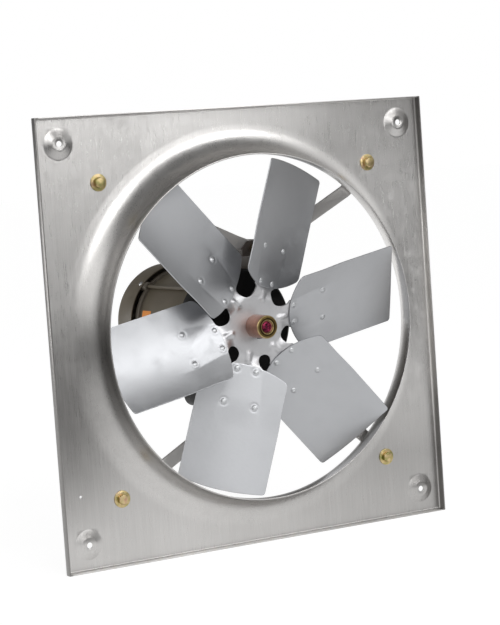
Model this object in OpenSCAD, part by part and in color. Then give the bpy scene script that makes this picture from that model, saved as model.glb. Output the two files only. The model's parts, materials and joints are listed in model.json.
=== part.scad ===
// Direct-drive panel fan with an explosion-proof motor.
// Each module is drawn as the fan is seen from its front: x to the right, y up, and z towards
// the viewer, with z = 0 on the panel's front face and the shaft along z. upright() then stands
// the fan up, so that its front faces -Y and +Z is up. Air blows out of the front.

/* [Panel] */
// Side of the square panel
panel_side = 660.4; // [650:0.1:760]
// Thickness of the panel sheet
panel_t = 1.9; // [1.2:0.1:2.6]
// Height of the turned rim in front of the panel's face
rim_h = 12.7; // [8:0.1:20]
// Diameter of the small hole near the lower left corner
pilot_hole_d = 3.8; // [3:0.1:6]

/* [Collar] */
// Flat margin between the cove and the panel's edge
cove_margin = 26.3; // [22:0.1:30]
// Height of the collar in front of the panel's face
collar_h = 55.5; // [50:0.5:70]
// Radius of the cove between the panel and the collar
cove_r = 45; // [30:1:48]

/* [Wall holes] */
// Distance of a wall hole from the panel's edges
wall_inset = 38.8; // [32:0.1:42]
// Diameter of a wall hole
wall_hole_d = 8.7; // [6:0.1:11]
// Diameter of a raised corner boss at its foot
boss_d = 46.5; // [40:0.5:52]
// Diameter of a corner boss at its flat top
boss_top_d = 21; // [18:0.5:26]
// Height of a corner boss
boss_h = 4.5; // [2:0.1:7]

/* [Straps] */
// Distance of a bracket bolt from the outer edge of the cove
bracket_clear = 24.48; // [22:0.01:28]
// Width of a strap
strap_w = 20; // [18:0.5:24]
// Thickness of a strap
strap_t = 4.8; // [3:0.1:6]
// Length of a left strap's flat foot beyond its bolt
left_foot_l = 22; // [18:1:30]
// Share of a right strap's reach that its flat foot takes
right_foot_share = 0.3434; // [0.24:0.0001:0.38]

/* [Motor mount plate] */
// Thickness of the mount plate
mount_t = 4; // [3:0.1:6]
// Distance of the mount plate's front behind the panel's face
mount_back = 85; // [80:0.5:90]
// How far beyond the shell the bolts that hold the straps stand
ear_bolt_over = 31; // [29:0.5:37]
// Width of an ear of the mount plate
ear_w = 23; // [20:0.5:26]

/* [Motor] */
// Diameter of the motor shell
shell_d = 161; // [156:0.5:163]
// Wall of the motor shell
shell_t = 2; // [1.5:0.1:3]
// Length of the motor shell
shell_l = 143; // [140:1:150]
// Distance of the front bell's face behind the panel's face
bell_back = 20; // [18:0.5:24]
// How far the front bell stands out beyond the shell
bell_over = 5.5; // [4.5:0.1:7.5]
// Depth of the front bell from its face to the shell
bell_depth = 42; // [40:1:46]
// Gap between the shell and the foot of the motor's base
base_gap = 8.4; // [7.5:0.1:11.5]
// Distance between the base's bolt holes across the motor
base_bolt_pitch = 123.8; // [122:0.1:128]
// Distance between the base's bolt holes along the shaft
base_bolt_run = 76.2; // [70:0.1:80]

/* [Rear shroud] */
// How far the rear fan shroud stands out beyond the shell
shroud_over = 11; // [10.5:0.1:13.5]
// Length of the rear fan shroud
shroud_l = 50; // [49:0.5:56]
// Wall of the rear fan shroud
shroud_t = 1.5; // [1:0.1:2]

/* [Conduit box] */
// Width of the conduit box
box_w = 61; // [60:0.5:70]
// Length of the conduit box along the shaft
box_l = 70; // [66:1:76]
// Depth of the box below the shell
box_depth = 52.5; // [50.5:0.5:59.5]
// Wall of the conduit box
box_wall = 5; // [4:0.1:6]
// Bore of the threaded conduit entry
conduit_d = 23.2; // [20:0.1:24]

/* [Propeller] */
// Gap between the blade tips and the collar
tip_gap = 5.5; // [4.5:0.1:12]
// Pitch of the blades
blade_pitch = 24.2; // [18:0.1:28]
// Radius to which the blades are curved
blade_curve_r = 234; // [210:1:260]
// Thickness of the blades
blade_t = 1.6; // [1.2:0.1:2]
// Thickness of the spider
spider_t = 2.6; // [2:0.1:3]
// Distance of a blade's face in front of the panel's face, on the blade's own middle line
blade_front = 24.5; // [24:0.1:26]
// Width of a blade on its front half
blade_front_w = 66; // [60:0.5:68]
// Width of a blade on its rear half
blade_rear_w = 67; // [60:0.5:68]

/* [Hub and shaft] */
// Diameter of the hub bush
bush_d = 34.9; // [32:0.1:37]
// Distance of the hub bush's end in front of the panel's face
bush_front = 58; // [54:0.5:62]
// Diameter of the shaft end that carries the hub
shaft_d = 15.875; // [15:0.005:17]

/* [Hidden] */
$fn = 96;

// Small lengths that serve everywhere
overrun = 1;
fit_gap = 0.05;
bolt_gap = 0.4;
small_fn = 32;
big_fn = 180;

// Colours, as the photograph shows them
steel_colour = [0.70, 0.69, 0.67];
strap_colour = [0.62, 0.60, 0.57];
zinc_colour = [0.72, 0.62, 0.36];
blade_colour = [0.66, 0.68, 0.70];
taupe_colour = [0.36, 0.33, 0.29];
black_colour = [0.08, 0.08, 0.09];
copper_colour = [0.72, 0.50, 0.42];
bright_colour = [0.75, 0.75, 0.76];
winding_colour = [0.65, 0.30, 0.14];

// Panel and collar
throat_r = panel_side / 2 - cove_margin - cove_r - panel_t;
cove_centre_r = throat_r + panel_t + cove_r;
wall_hole_side = panel_side / 2 - wall_inset;
bracket_side = (cove_centre_r + bracket_clear) / norm([1, 1]);
pilot_hole_shares = [-0.451, -0.333];
corner_signs = [[-1, 1], [1, 1], [-1, -1], [1, -1]];

// Fasteners: width across flats, head height and shank diameter
panel_bolt_af = 14.3;
panel_bolt_head_h = 6;
panel_bolt_d = 9.5;
panel_bolt_l = 20;
panel_nut_h = 8;
panel_washer_d = 25.4;
panel_washer_t = 1.6;
mount_bolt_af = 12.7;
straight_angle = 89.9;
mount_bolt_head_h = 5.3;
mount_bolt_d = 7.9;
mount_bolt_l = 19;
mount_nut_h = 6.7;

// Mount plate, its ears and the places of the bolts that hold the straps
ear_in = 42.9;
ear_out = 43.1;
ear_chamfer = 11;
left_bolt_in = 20.9;
right_bolt_out = 25.1;
mount_depth = 106;
tab_l = 12;
foot_end_l = 12;
strap_bend_r = 9;

// Motor stations along the shaft
bell_face_z = -bell_back;
shell_front_z = bell_face_z - bell_depth;
shell_rear_z = shell_front_z - shell_l;
shell_middle_z = (shell_front_z + shell_rear_z) / 2;
shell_r = shell_d / 2;
shaft_height = shell_r + base_gap;
ear_left_x = shaft_height - ear_in;
ear_right_x = shaft_height + ear_out;
left_ear_bolt_x = shaft_height - left_bolt_in;
right_ear_bolt_x = shaft_height + right_bolt_out;
ear_bolt_y = shell_r + ear_bolt_over;
shell_inner_r = shell_r - shell_t;
bell_r = shell_r + bell_over;
bell_wall = 7;
bell_edge_chamfer = 4;
spigot_l = 5;
spigot_wall = 3.4;
spigot_inner_r = shell_inner_r - spigot_wall;
rear_bell_step = 3.5;
rear_bell_rim_r = shell_r + rear_bell_step;
rear_bell_l = 14;
rear_bell_z = shell_rear_z - rear_bell_l;

// Tie rods and the lugs that hold them
rod_over = 4.3;
rod_circle_r = shell_r + rod_over;
rod_d = 6;
rod_head_af = 9.5;
rod_head_h = 4.5;
rod_thread_l = 9;
rod_angles = [45, 135, 225, 315];
front_lug_r = 7.5;
front_lug_l = 14;
rear_lug_r = 7;
rear_lug_l = 23;

// Shroud
shroud_r = shell_r + shroud_over;
shroud_overlap = 3;
shroud_front_z = rear_bell_z + shroud_overlap;
shroud_rear_z = shroud_front_z - shroud_l;
shroud_edge_r = 5;
shroud_slots = 24;
shroud_slot_w = 3.5;
shroud_slot_in_r = 26;
shroud_slot_margin = 41.5;
shroud_slot_out_r = shroud_r - shroud_slot_margin;
shroud_screw_d = 4;
shroud_screw_head_d = 8.4;
shroud_screw_head_h = 2.2;
shroud_screw_l = 8;
shroud_screw_inset = 5;
shroud_screw_z = rear_bell_z - shroud_screw_inset;

// Bearings: the radii of the bore, of the outside and of a ball, and the width
front_bearing = [10, 23.5, 3.95, 14];
rear_bearing = [8.5, 20, 3.35, 12];
function bore_r(bearing) = bearing[0];
function rim_r(bearing) = bearing[1];
function ball_r(bearing) = bearing[2];
function width_of(bearing) = bearing[3];
function ball_circle_r(bearing) = (bore_r(bearing) + rim_r(bearing)) / 2;
bearing_balls = 8;
race_land = 2.55;
race_relief = 0.8;
cage_land = 1.3;
cage_end = 0.7;
front_bearing_inset = 16;
rear_bearing_inset = 31;
front_bearing_front_z = bell_face_z - front_bearing_inset;
front_bearing_rear_z = front_bearing_front_z - width_of(front_bearing);
rear_bearing_front_z = rear_bell_z + rear_bearing_inset;
rear_bearing_rear_z = rear_bearing_front_z - width_of(rear_bearing);
wave_washer_t = 1.3;
washer_room = 1.5;
bell_boss_h = 8;
bell_boss_r = 20;
flame_gap = 0.1;
front_hub_r = 34;
rear_hub_wall = 7;
cap_t = 7;
cap_screw_circle_r = 28.8;
cap_screw_d = 4.2;
cap_screw_head_d = 7.2;
cap_screw_head_h = 2.6;
cap_screw_l = 14;
cap_screw_angles = [90, 210, 330];

// Shaft steps
rotor_seat_r = 12;
rear_end_r = 7.5;
shaft_r = shaft_d / 2;
shaft_recess = 1.5;
shaft_front_z = bush_front - shaft_recess;
shaft_rear_clear = 12;
shaft_rear_z = shroud_rear_z + shaft_rear_clear;
shaft_chamfer = 0.8;
centre_hole_r = 1.3;
centre_hole_depth = 5;

// Stator and rotor
stator_l = 66;
stator_inset = 22;
stator_middle_z = shell_front_z - stator_inset - stator_l / 2;
stator_r = shell_inner_r - fit_gap;
air_gap = 0.4;
slot_count = 24;
slot_w = 6;
slot_depth = 15.4;
yoke_t = 15.45;
tooth_tip = 2.4;
slot_out_r = stator_r - yoke_t;
slot_in_r = slot_out_r - slot_depth;
rotor_r = slot_in_r - tooth_tip - air_gap;
slot_mouth_w = 2.4;
winding_gap = 0.3;
end_turn_h = 20;
end_turn_round = 5;
end_ring_w = 13.8;
end_ring_in_r = rotor_r - end_ring_w;
end_ring_h = 9;

// Base
base_t = 3.2;
base_w = 150;
base_l = 92;
leg_rod_gap = 3.763;
base_leg_y = rod_circle_r / norm([1, 1]) - rod_d / 2 - leg_rod_gap - base_t;
base_leg_l = 84;

// Conduit box
box_drop = shell_r + box_depth;
box_front_z = shell_middle_z + box_l / 2;
box_rear_z = box_front_z - box_l;
box_corner_r = 17.4;
box_roof = 7;
cover_t = 5;
cover_screw_side = 9;
cover_screw_x = box_w / 2 - cover_screw_side;
cover_screw_low = 12;
cover_screw_high = 9.5;
cover_screw_ys = [-box_drop + cover_screw_low, -shell_r - cover_screw_high];
cover_screw_d = 4.8;
cover_screw_head_d = 8.5;
cover_screw_head_h = 3;
cover_screw_l = 14;
cover_boss_r = 5;
conduit_hub_r = 17;
conduit_hub_l = 10;
conduit_inset = 25;
conduit_y = -box_drop + conduit_inset;
lead_hole_r = 5.5;
lead_hole_inset = 7;
lead_hole_z = box_rear_z + box_wall + lead_hole_inset;
terminal_size = [30, 14, 22];
terminal_pitch = 9;
terminal_post_r = 2.4;
terminal_post_h = 4;
ground_screw_d = 4.8;
ground_head_af = 8;
ground_head_h = 3;
ground_screw_l = 4;

// Nameplate and label
plate_angles = [52, 86];
plate_t = 0.6;
plate_l = 58;
plate_rivet_r = 1.6;
plate_rivet_h = 1.1;
plate_rivet_inset = 4;
plate_rivet_l = 2.2;
label_angles = [163, 181];
label_t = 0.25;
label_l = 28;
label_back = 37;
label_front_z = shell_middle_z - label_back;

// Propeller
tip_r = throat_r - tip_gap;
blade_count = 6;
blade_step = 360 / blade_count;
blade_phase = 71;
root_s = 60;
root_front_arc_r = 140;
root_rear_arc_r = 103;
root_corner_r = 5;
tip_corner_r = 4;
seat_gap = 0.12;
rivet_d = 4.8;
rivet_head_r = 4.6;
rivet_head_h = 1.6;
rivet_lift = 0.06;
inner_rivet_s = 67.7;
inner_rivet_p = 14.6;
outer_rivet_s = 120.5;
outer_rivet_p = 23.7;
rivet_places = [
  [inner_rivet_s, inner_rivet_p], [inner_rivet_s, -inner_rivet_p],
  [outer_rivet_s, outer_rivet_p], [outer_rivet_s, -outer_rivet_p]
];

// Spider: its flat hub, the stretch over which an arm turns to the blade's pitch, and its arms
spider_front_z = blade_front - blade_t - seat_gap;
twist_start_s = 42;
arm_round_s = 121;
arm_end_s = 135;
arm_root_half_w = 24;
arm_seat_s = 69;
arm_seat_half_w = 23;
arm_wide_s = 122;
arm_wide_half_w = 31;
arm_tip_half_w = 16;
relief_circle_r = 58;
relief_r = 12.5;
relief_phase = 101;
rib_h = 2.2;
rib_half_w = 7;
rib_start_s = 36;
twist_rows = 5;
seat_rows = 3;
end_rows = 4;
arm_columns = 12;

// Hub bush and slinger
bush_r = bush_d / 2;
bush_spigot_r = 11;
bush_stake_r = 13;
bush_stake_h = 1.8;
bush_chamfer = 1.2;
bush_mouth_chamfer = 2.4;
set_screw_r = 4;
set_screw_z = 32;
set_screw_angles = [-90, 0];
set_screw_proud = 1;
set_screw_socket_af = 4;
set_screw_socket_depth = 4;
slinger_r = 15;
slinger_l = 4.5;
slinger_clear = 1.2;
slinger_lip_r = 10.5;

// Cooling fan
cooling_tip_gap = 18;
cooling_r = shroud_r - shroud_t - cooling_tip_gap;
cooling_hub_r = 16;
cooling_hub_l = 20;
cooling_plate_t = 2.5;
cooling_blades = 8;
cooling_blade_t = 2;
cooling_blade_h = 15;
cooling_clear = 9;
cooling_rear_z = shroud_rear_z + shroud_t + cooling_clear;
cooling_screw_r = 2.5;

// Places a drawing on the fan's front view upright
module upright() rotate([90, 0, 0]) children();

// A cylinder along z between two stations
module rod_between(r, z0, z1, sides = $fn)
  translate([0, 0, min(z0, z1)]) cylinder(r = r, h = abs(z1 - z0), $fn = sides);

// A ring along z between two stations
module ring_between(r_out, r_in, z0, z1)
  difference() {
    rod_between(r_out, z0, z1);
    rod_between(r_in, min(z0, z1) - overrun, max(z0, z1) + overrun);
  }

// A hexagonal prism, sized by its width across flats
module hex_prism(af, h) cylinder(d = af / cos(30), h = h, $fn = 6);

// A bolt along -z whose head stands on z = 0
module hex_bolt(af, head_h, d, l) {
  hex_prism(af, head_h);
  translate([0, 0, -l]) cylinder(d = d, h = l, $fn = small_fn);
}

// A hexagonal nut below z = 0, with its hole
module hex_nut(af, h, d)
  translate([0, 0, -h])
    difference() {
      hex_prism(af, h);
      translate([0, 0, -overrun]) cylinder(d = d + 2 * fit_gap, h = h + 2 * overrun, $fn = small_fn);
    }

// A round-headed screw or rivet head: a cap of a sphere on z = 0
module dome(r, h) {
  ball_r = (r * r + h * h) / (2 * h);
  intersection() {
    translate([0, 0, h - ball_r]) sphere(r = ball_r, $fn = small_fn);
    cylinder(r = r, h = h, $fn = small_fn);
  }
}

// One round corner b of an outline, between its neighbours a and c
function unit(v) = v / norm(v);
function corner_arc(a, b, c, r, steps = 6) =
  let (
    toward_a = unit(a - b),
    toward_c = unit(c - b),
    half = acos(max(-1, min(1, toward_a * toward_c))) / 2
  )
  r <= 0 || half > straight_angle ? [b] :
  let (
    centre = b + unit(toward_a + toward_c) * r / sin(half),
    start = b + toward_a * r / tan(half) - centre,
    end = b + toward_c * r / tan(half) - centre,
    from = atan2(start.y, start.x),
    raw = atan2(end.y, end.x) - from,
    sweep = raw > 180 ? raw - 360 : raw < -180 ? raw + 360 : raw
  )
  [for (i = [0:steps]) centre + r * [cos(from + sweep * i / steps), sin(from + sweep * i / steps)]];

// A closed outline with the radius given for each corner
function rounded_outline(points, radii) =
  let (n = len(points))
  [for (i = [0:n - 1]) each corner_arc(points[(i + n - 1) % n], points[i], points[(i + 1) % n], radii[i])];

// An open line with one bend radius, and the same line shifted sideways
function bent_line(points, r) =
  let (last = len(points) - 1)
  [for (i = [0:last]) each (i == 0 || i == last ? [points[i]]
    : corner_arc(points[i - 1], points[i], points[i + 1], r))];
function side_of(a, b) = let (d = unit(b - a)) [-d.y, d.x];
function shifted(line, by) =
  let (last = len(line) - 1)
  [for (i = [0:last])
    let (
      before = side_of(line[max(i - 1, 0)], line[max(i, 1)]),
      after = side_of(line[min(i, last - 1)], line[min(i + 1, last)])
    )
    line[i] + by * (before + after) / (1 + before * after)];
function reversed(list) = [for (i = [len(list) - 1:-1:0]) list[i]];

// Panel

module collar_profile() {
  translate([cove_centre_r, cove_r])
    intersection() {
      difference() {
        circle(r = cove_r + panel_t, $fn = big_fn);
        circle(r = cove_r, $fn = big_fn);
      }
      translate([-cove_r - panel_t, -cove_r - panel_t]) square(cove_r + panel_t);
    }
  translate([throat_r, cove_r]) square([panel_t, collar_h - cove_r]);
  translate([cove_centre_r, -panel_t]) square([overrun, panel_t]);
}

module boss_profile()
  polygon([
    [wall_hole_d / 2, boss_h], [boss_top_d / 2, boss_h], [boss_d / 2, 0],
    [boss_d / 2 + overrun, 0], [boss_d / 2 + overrun, -panel_t], [boss_d / 2, -panel_t],
    [boss_top_d / 2, boss_h - panel_t], [wall_hole_d / 2, boss_h - panel_t]
  ]);

module orifice_panel()
  color(steel_colour) upright() {
    difference() {
      translate([-panel_side / 2, -panel_side / 2, -panel_t])
        cube([panel_side, panel_side, panel_t + rim_h]);
      translate([-panel_side / 2 + panel_t, -panel_side / 2 + panel_t, 0])
        cube([panel_side - 2 * panel_t, panel_side - 2 * panel_t, rim_h + overrun]);
      rod_between(cove_centre_r, -panel_t - overrun, overrun, big_fn);
      for (s = corner_signs) {
        translate([s.x * wall_hole_side, s.y * wall_hole_side, -panel_t - overrun])
          cylinder(d = boss_d, h = panel_t + 2 * overrun);
        translate([s.x * bracket_side, s.y * bracket_side, -panel_t - overrun])
          cylinder(d = panel_bolt_d + bolt_gap, h = panel_t + 2 * overrun, $fn = small_fn);
      }
      translate(concat(panel_side * pilot_hole_shares, [-panel_t - overrun]))
        cylinder(d = pilot_hole_d, h = panel_t + 2 * overrun, $fn = small_fn);
    }
    rotate_extrude($fn = big_fn) collar_profile();
    for (s = corner_signs)
      translate([s.x * wall_hole_side, s.y * wall_hole_side, 0]) rotate_extrude() boss_profile();
  }

// Straps and what bolts them

function panel_bolt_place(s) = [s.x * bracket_side, s.y * bracket_side];
function ear_bolt_place(side_x) = [side_x < 0 ? left_ear_bolt_x : right_ear_bolt_x, ear_bolt_y];
foot_middle_z = -panel_t - strap_t / 2;
tab_middle_z = -mount_back - mount_t - strap_t / 2;

// A strap's tab lies flat on the whole ear, so its bend starts past the ear's corner
function tab_bend_l(side_x) = strap_bend_r / 2 + norm([
  side_x < 0 ? left_ear_bolt_x - ear_left_x : ear_right_x - right_ear_bolt_x, ear_w / 2]);

function strap_outline(reach, foot_l, bend_l) =
  let (line = bent_line([
    [-foot_end_l, foot_middle_z], [foot_l, foot_middle_z],
    [reach - bend_l, tab_middle_z], [reach + tab_l, tab_middle_z]
  ], strap_bend_r))
  concat(shifted(line, strap_t / 2), reversed(shifted(line, -strap_t / 2)));

// A strap in the upper half, left for side_x < 0 and right for side_x > 0
module strap(side_x)
  color(strap_colour) {
    from = panel_bolt_place([side_x, 1]);
    to = ear_bolt_place(side_x);
    reach = norm(to - from);
    foot_l = side_x < 0 ? left_foot_l : reach * right_foot_share;
    translate([from.x, from.y, 0]) rotate([0, 0, atan2(to.y - from.y, to.x - from.x)])
      difference() {
        rotate([90, 0, 0]) linear_extrude(strap_w, center = true)
          polygon(strap_outline(reach, foot_l, tab_bend_l(side_x)));
        translate([0, 0, foot_middle_z - strap_t])
          cylinder(d = panel_bolt_d + bolt_gap, h = 2 * strap_t, $fn = small_fn);
        translate([reach, 0, tab_middle_z - strap_t])
          cylinder(d = mount_bolt_d + bolt_gap, h = 2 * strap_t, $fn = small_fn);
      }
  }

module strap_upper_left() upright() strap(-1);
module strap_upper_right() upright() strap(1);
module strap_lower_left() upright() mirror([0, 1, 0]) strap(-1);
module strap_lower_right() upright() mirror([0, 1, 0]) strap(1);

module at_panel_bolts()
  for (s = corner_signs) translate(concat(panel_bolt_place(s), [0])) children();

module panel_bolts()
  color(zinc_colour) upright() at_panel_bolts()
    translate([0, 0, panel_washer_t])
      hex_bolt(panel_bolt_af, panel_bolt_head_h, panel_bolt_d, panel_bolt_l);

module panel_washers()
  color(zinc_colour) upright() at_panel_bolts()
    difference() {
      cylinder(d = panel_washer_d, h = panel_washer_t);
      translate([0, 0, -overrun])
        cylinder(d = panel_bolt_d + bolt_gap, h = panel_washer_t + 2 * overrun, $fn = small_fn);
    }

module panel_nuts()
  color(zinc_colour) upright() at_panel_bolts()
    translate([0, 0, -panel_t - strap_t]) hex_nut(panel_bolt_af, panel_nut_h, panel_bolt_d);

module at_mount_bolts()
  for (s = corner_signs) {
    place = ear_bolt_place(s.x);
    translate([place.x, s.y * place.y, 0]) children();
  }

module mount_bolts()
  color(zinc_colour) upright() at_mount_bolts()
    translate([0, 0, -mount_back]) hex_bolt(mount_bolt_af, mount_bolt_head_h, mount_bolt_d, mount_bolt_l);

module mount_nuts()
  color(zinc_colour) upright() at_mount_bolts()
    translate([0, 0, -mount_back - mount_t - strap_t]) hex_nut(mount_bolt_af, mount_nut_h, mount_bolt_d);

// Mount plate: a web beside the motor's base, and an ear at each end

module ear_outline() {
  low = ear_bolt_y - ear_w / 2;
  high = ear_bolt_y + ear_w / 2;
  polygon([
    [ear_left_x, low], [ear_right_x, low], [ear_right_x, high],
    [ear_left_x + ear_chamfer, high], [ear_left_x, high - ear_chamfer]
  ]);
}

module at_base_bolts()
  for (s = corner_signs)
    translate([0, s.y * base_bolt_pitch / 2, shell_middle_z + s.x * base_bolt_run / 2]) children();

module base_bolt_holes(x0, x1)
  at_base_bolts() translate([x0, 0, 0]) rotate([0, 90, 0])
    cylinder(d = mount_bolt_d + bolt_gap, h = x1 - x0, $fn = small_fn);

module motor_mount_plate()
  color(taupe_colour) upright()
    difference() {
      union() {
        translate([shaft_height, -ear_bolt_y - ear_w / 2, -mount_back - mount_depth])
          cube([mount_t, 2 * ear_bolt_y + ear_w, mount_depth]);
        for (flip = [0, 1]) mirror([0, flip, 0])
          translate([0, 0, -mount_back - mount_t]) linear_extrude(mount_t) ear_outline();
      }
      at_mount_bolts() translate([0, 0, -mount_back - mount_t - overrun])
        cylinder(d = mount_bolt_d + bolt_gap, h = mount_t + 2 * overrun, $fn = small_fn);
      base_bolt_holes(shaft_height - overrun, shaft_height + mount_t + overrun);
    }

module base_bolts()
  color(zinc_colour) upright() at_base_bolts()
    translate([shaft_height - base_t, 0, 0]) rotate([0, -90, 0])
      hex_bolt(mount_bolt_af, mount_bolt_head_h, mount_bolt_d, mount_bolt_l);

module base_nuts()
  color(zinc_colour) upright() at_base_bolts()
    translate([shaft_height + mount_t, 0, 0]) rotate([0, -90, 0])
      hex_nut(mount_bolt_af, mount_nut_h, mount_bolt_d);

// Motor shell, bells, base

module motor_base()
  color(taupe_colour) upright()
    difference() {
      union() {
        translate([shaft_height - base_t, -base_w / 2, shell_middle_z - base_l / 2])
          cube([base_t, base_w, base_l]);
        for (flip = [0, 1]) mirror([0, flip, 0])
          translate([0, base_leg_y, shell_middle_z - base_leg_l / 2])
            cube([shaft_height - base_t, base_t, base_leg_l]);
      }
      rod_between(shell_r, shell_middle_z - base_l, shell_middle_z + base_l);
      base_bolt_holes(shaft_height - base_t - overrun, shaft_height + overrun);
    }

// The hole through which the motor's leads reach the conduit box
module lead_hole()
  translate([0, 0, lead_hole_z]) rotate([90, 0, 0])
    cylinder(r = lead_hole_r, h = shell_r + box_roof + overrun, $fn = small_fn);

module motor_shell()
  color(taupe_colour) upright()
    difference() {
      ring_between(shell_r, shell_inner_r, shell_front_z, shell_rear_z);
      lead_hole();
      for (z = plate_rivet_stations) rotate([0, 0, plate_middle_angle])
        translate([shell_inner_r - overrun, 0, z]) rotate([0, 90, 0])
          cylinder(r = plate_rivet_r + fit_gap, h = shell_t + 2 * overrun, $fn = small_fn);
    }

module at_rods(z) for (a = rod_angles) rotate([0, 0, a]) translate([rod_circle_r, 0, z]) children();

module front_end_bell()
  color(black_colour) upright()
    difference() {
      union() {
        rotate_extrude() polygon([
          [shaft_r + flame_gap, bell_face_z + bell_boss_h], [bell_boss_r, bell_face_z + bell_boss_h],
          [bell_boss_r, bell_face_z], [bell_r - bell_edge_chamfer, bell_face_z],
          [bell_r, bell_face_z - bell_edge_chamfer], [bell_r, shell_front_z],
          [shell_inner_r - fit_gap, shell_front_z], [shell_inner_r - fit_gap, shell_front_z - spigot_l],
          [spigot_inner_r, shell_front_z - spigot_l], [spigot_inner_r, bell_face_z - bell_wall],
          [front_hub_r, bell_face_z - bell_wall], [front_hub_r, front_bearing_rear_z],
          [rim_r(front_bearing) + fit_gap, front_bearing_rear_z],
          [rim_r(front_bearing) + fit_gap, front_bearing_front_z],
          [outer_race_inner_r(front_bearing), front_bearing_front_z],
          [outer_race_inner_r(front_bearing), front_bearing_front_z + race_relief],
          [shaft_r + flame_gap, front_bearing_front_z + race_relief]
        ]);
        at_rods(shell_front_z + bolt_gap)
          cylinder(r = front_lug_r, h = front_lug_l - bolt_gap, $fn = small_fn);
      }
      at_rods(shell_front_z - overrun)
        cylinder(d = rod_d + bolt_gap, h = front_lug_l + 2 * overrun, $fn = small_fn);
      at_rods(shell_front_z + front_lug_l)
        cylinder(r = front_lug_r, h = bell_depth, $fn = small_fn);
      for (a = cap_screw_angles) rotate([0, 0, a])
        translate([cap_screw_circle_r, 0, front_bearing_rear_z - overrun])
          cylinder(d = cap_screw_d + 2 * fit_gap, h = cap_screw_l - cap_t + 2 * overrun, $fn = small_fn);
    }

module rear_end_bell()
  color(taupe_colour) upright()
    difference() {
      union() {
        rotate_extrude() polygon([
          [rear_end_r + flame_gap, rear_bell_z], [rear_bell_rim_r - bell_edge_chamfer, rear_bell_z],
          [rear_bell_rim_r, rear_bell_z + bell_edge_chamfer], [rear_bell_rim_r, shell_rear_z],
          [shell_inner_r - fit_gap, shell_rear_z], [shell_inner_r - fit_gap, shell_rear_z + spigot_l],
          [spigot_inner_r, shell_rear_z + spigot_l], [spigot_inner_r, rear_bell_z + bell_wall],
          [rim_r(rear_bearing) + rear_hub_wall, rear_bell_z + bell_wall],
          [rim_r(rear_bearing) + rear_hub_wall, rear_bearing_front_z],
          [rim_r(rear_bearing) + fit_gap, rear_bearing_front_z],
          [rim_r(rear_bearing) + fit_gap, rear_bearing_rear_z - washer_room],
          [rear_end_r + flame_gap, rear_bearing_rear_z - washer_room]
        ]);
        intersection() {
          at_rods(shell_rear_z - rear_lug_l) cylinder(r = rear_lug_r, h = rear_lug_l, $fn = small_fn);
          rod_between(shroud_r - shroud_t - fit_gap, shell_rear_z - rear_lug_l, shell_rear_z);
        }
      }
      at_rods(shell_rear_z - rod_thread_l - overrun)
        cylinder(d = rod_d + 2 * fit_gap, h = rod_thread_l + 2 * overrun, $fn = small_fn);
      for (a = rod_angles) rotate([0, 0, a])
        translate([shroud_r - shroud_screw_l, 0, shroud_screw_z]) rotate([0, 90, 0])
          cylinder(d = shroud_screw_d + 2 * fit_gap, h = shroud_screw_l, $fn = small_fn);
    }

module tie_rods()
  color(bright_colour) upright() at_rods(shell_front_z + front_lug_l)
    hex_bolt(rod_head_af, rod_head_h, rod_d, front_lug_l + shell_l + rod_thread_l);

// Stator

module slot_cut(grow, length)
  for (i = [0:slot_count - 1]) rotate([0, 0, i * 360 / slot_count])
    translate([slot_in_r - grow, -slot_w / 2 - grow, stator_middle_z - length / 2])
      cube([slot_out_r - slot_in_r + 2 * grow, slot_w + 2 * grow, length]);

module stator_core()
  color(bright_colour) upright()
    difference() {
      ring_between(stator_r, rotor_r + air_gap,
        stator_middle_z - stator_l / 2, stator_middle_z + stator_l / 2);
      slot_cut(0, stator_l + 2 * overrun);
      for (i = [0:slot_count - 1]) rotate([0, 0, i * 360 / slot_count])
        translate([rotor_r, -slot_mouth_w / 2, stator_middle_z - stator_l / 2 - overrun])
          cube([slot_in_r - rotor_r + overrun, slot_mouth_w, stator_l + 2 * overrun]);
    }

module end_turn_profile()
  polygon(rounded_outline(
    [[slot_in_r, 0], [slot_out_r, 0], [slot_out_r, end_turn_h], [slot_in_r, end_turn_h]],
    [0, 0, end_turn_round, end_turn_round]
  ));

module stator_winding()
  color(winding_colour) upright() {
    slot_cut(-winding_gap, stator_l + 4 * winding_gap);
    for (flip = [0, 1]) translate([0, 0, stator_middle_z]) mirror([0, 0, flip])
      translate([0, 0, stator_l / 2 + winding_gap]) rotate_extrude() end_turn_profile();
  }

// Bearings

function outer_race_inner_r(bearing) = ball_circle_r(bearing) + race_land;
function inner_race_outer_r(bearing) = ball_circle_r(bearing) - race_land;

module race(r_out, r_in, bearing, front_z)
  color(bright_colour) upright()
    difference() {
      ring_between(r_out, r_in, front_z, front_z - width_of(bearing));
      translate([0, 0, front_z - width_of(bearing) / 2]) rotate_extrude()
        translate([ball_circle_r(bearing), 0]) circle(r = ball_r(bearing) + fit_gap, $fn = small_fn);
    }
module outer_race(bearing, front_z) race(rim_r(bearing), outer_race_inner_r(bearing), bearing, front_z);
module inner_race(bearing, front_z) race(inner_race_outer_r(bearing), bore_r(bearing), bearing, front_z);

module at_balls(bearing)
  for (i = [0:bearing_balls - 1]) rotate([0, 0, i * 360 / bearing_balls])
    translate([ball_circle_r(bearing), 0, 0]) children();

// The balls and the cage that spaces them
module ball_set(bearing, front_z)
  color(bright_colour) upright() translate([0, 0, front_z - width_of(bearing) / 2]) {
    at_balls(bearing) sphere(r = ball_r(bearing), $fn = small_fn);
    cage_half_l = ball_r(bearing) + cage_end;
    difference() {
      ring_between(ball_circle_r(bearing) + cage_land, ball_circle_r(bearing) - cage_land,
        -cage_half_l, cage_half_l);
      at_balls(bearing) rotate([0, 90, 0])
        cylinder(r = ball_r(bearing) + fit_gap, h = 4 * cage_land, center = true, $fn = small_fn);
    }
  }

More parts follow.
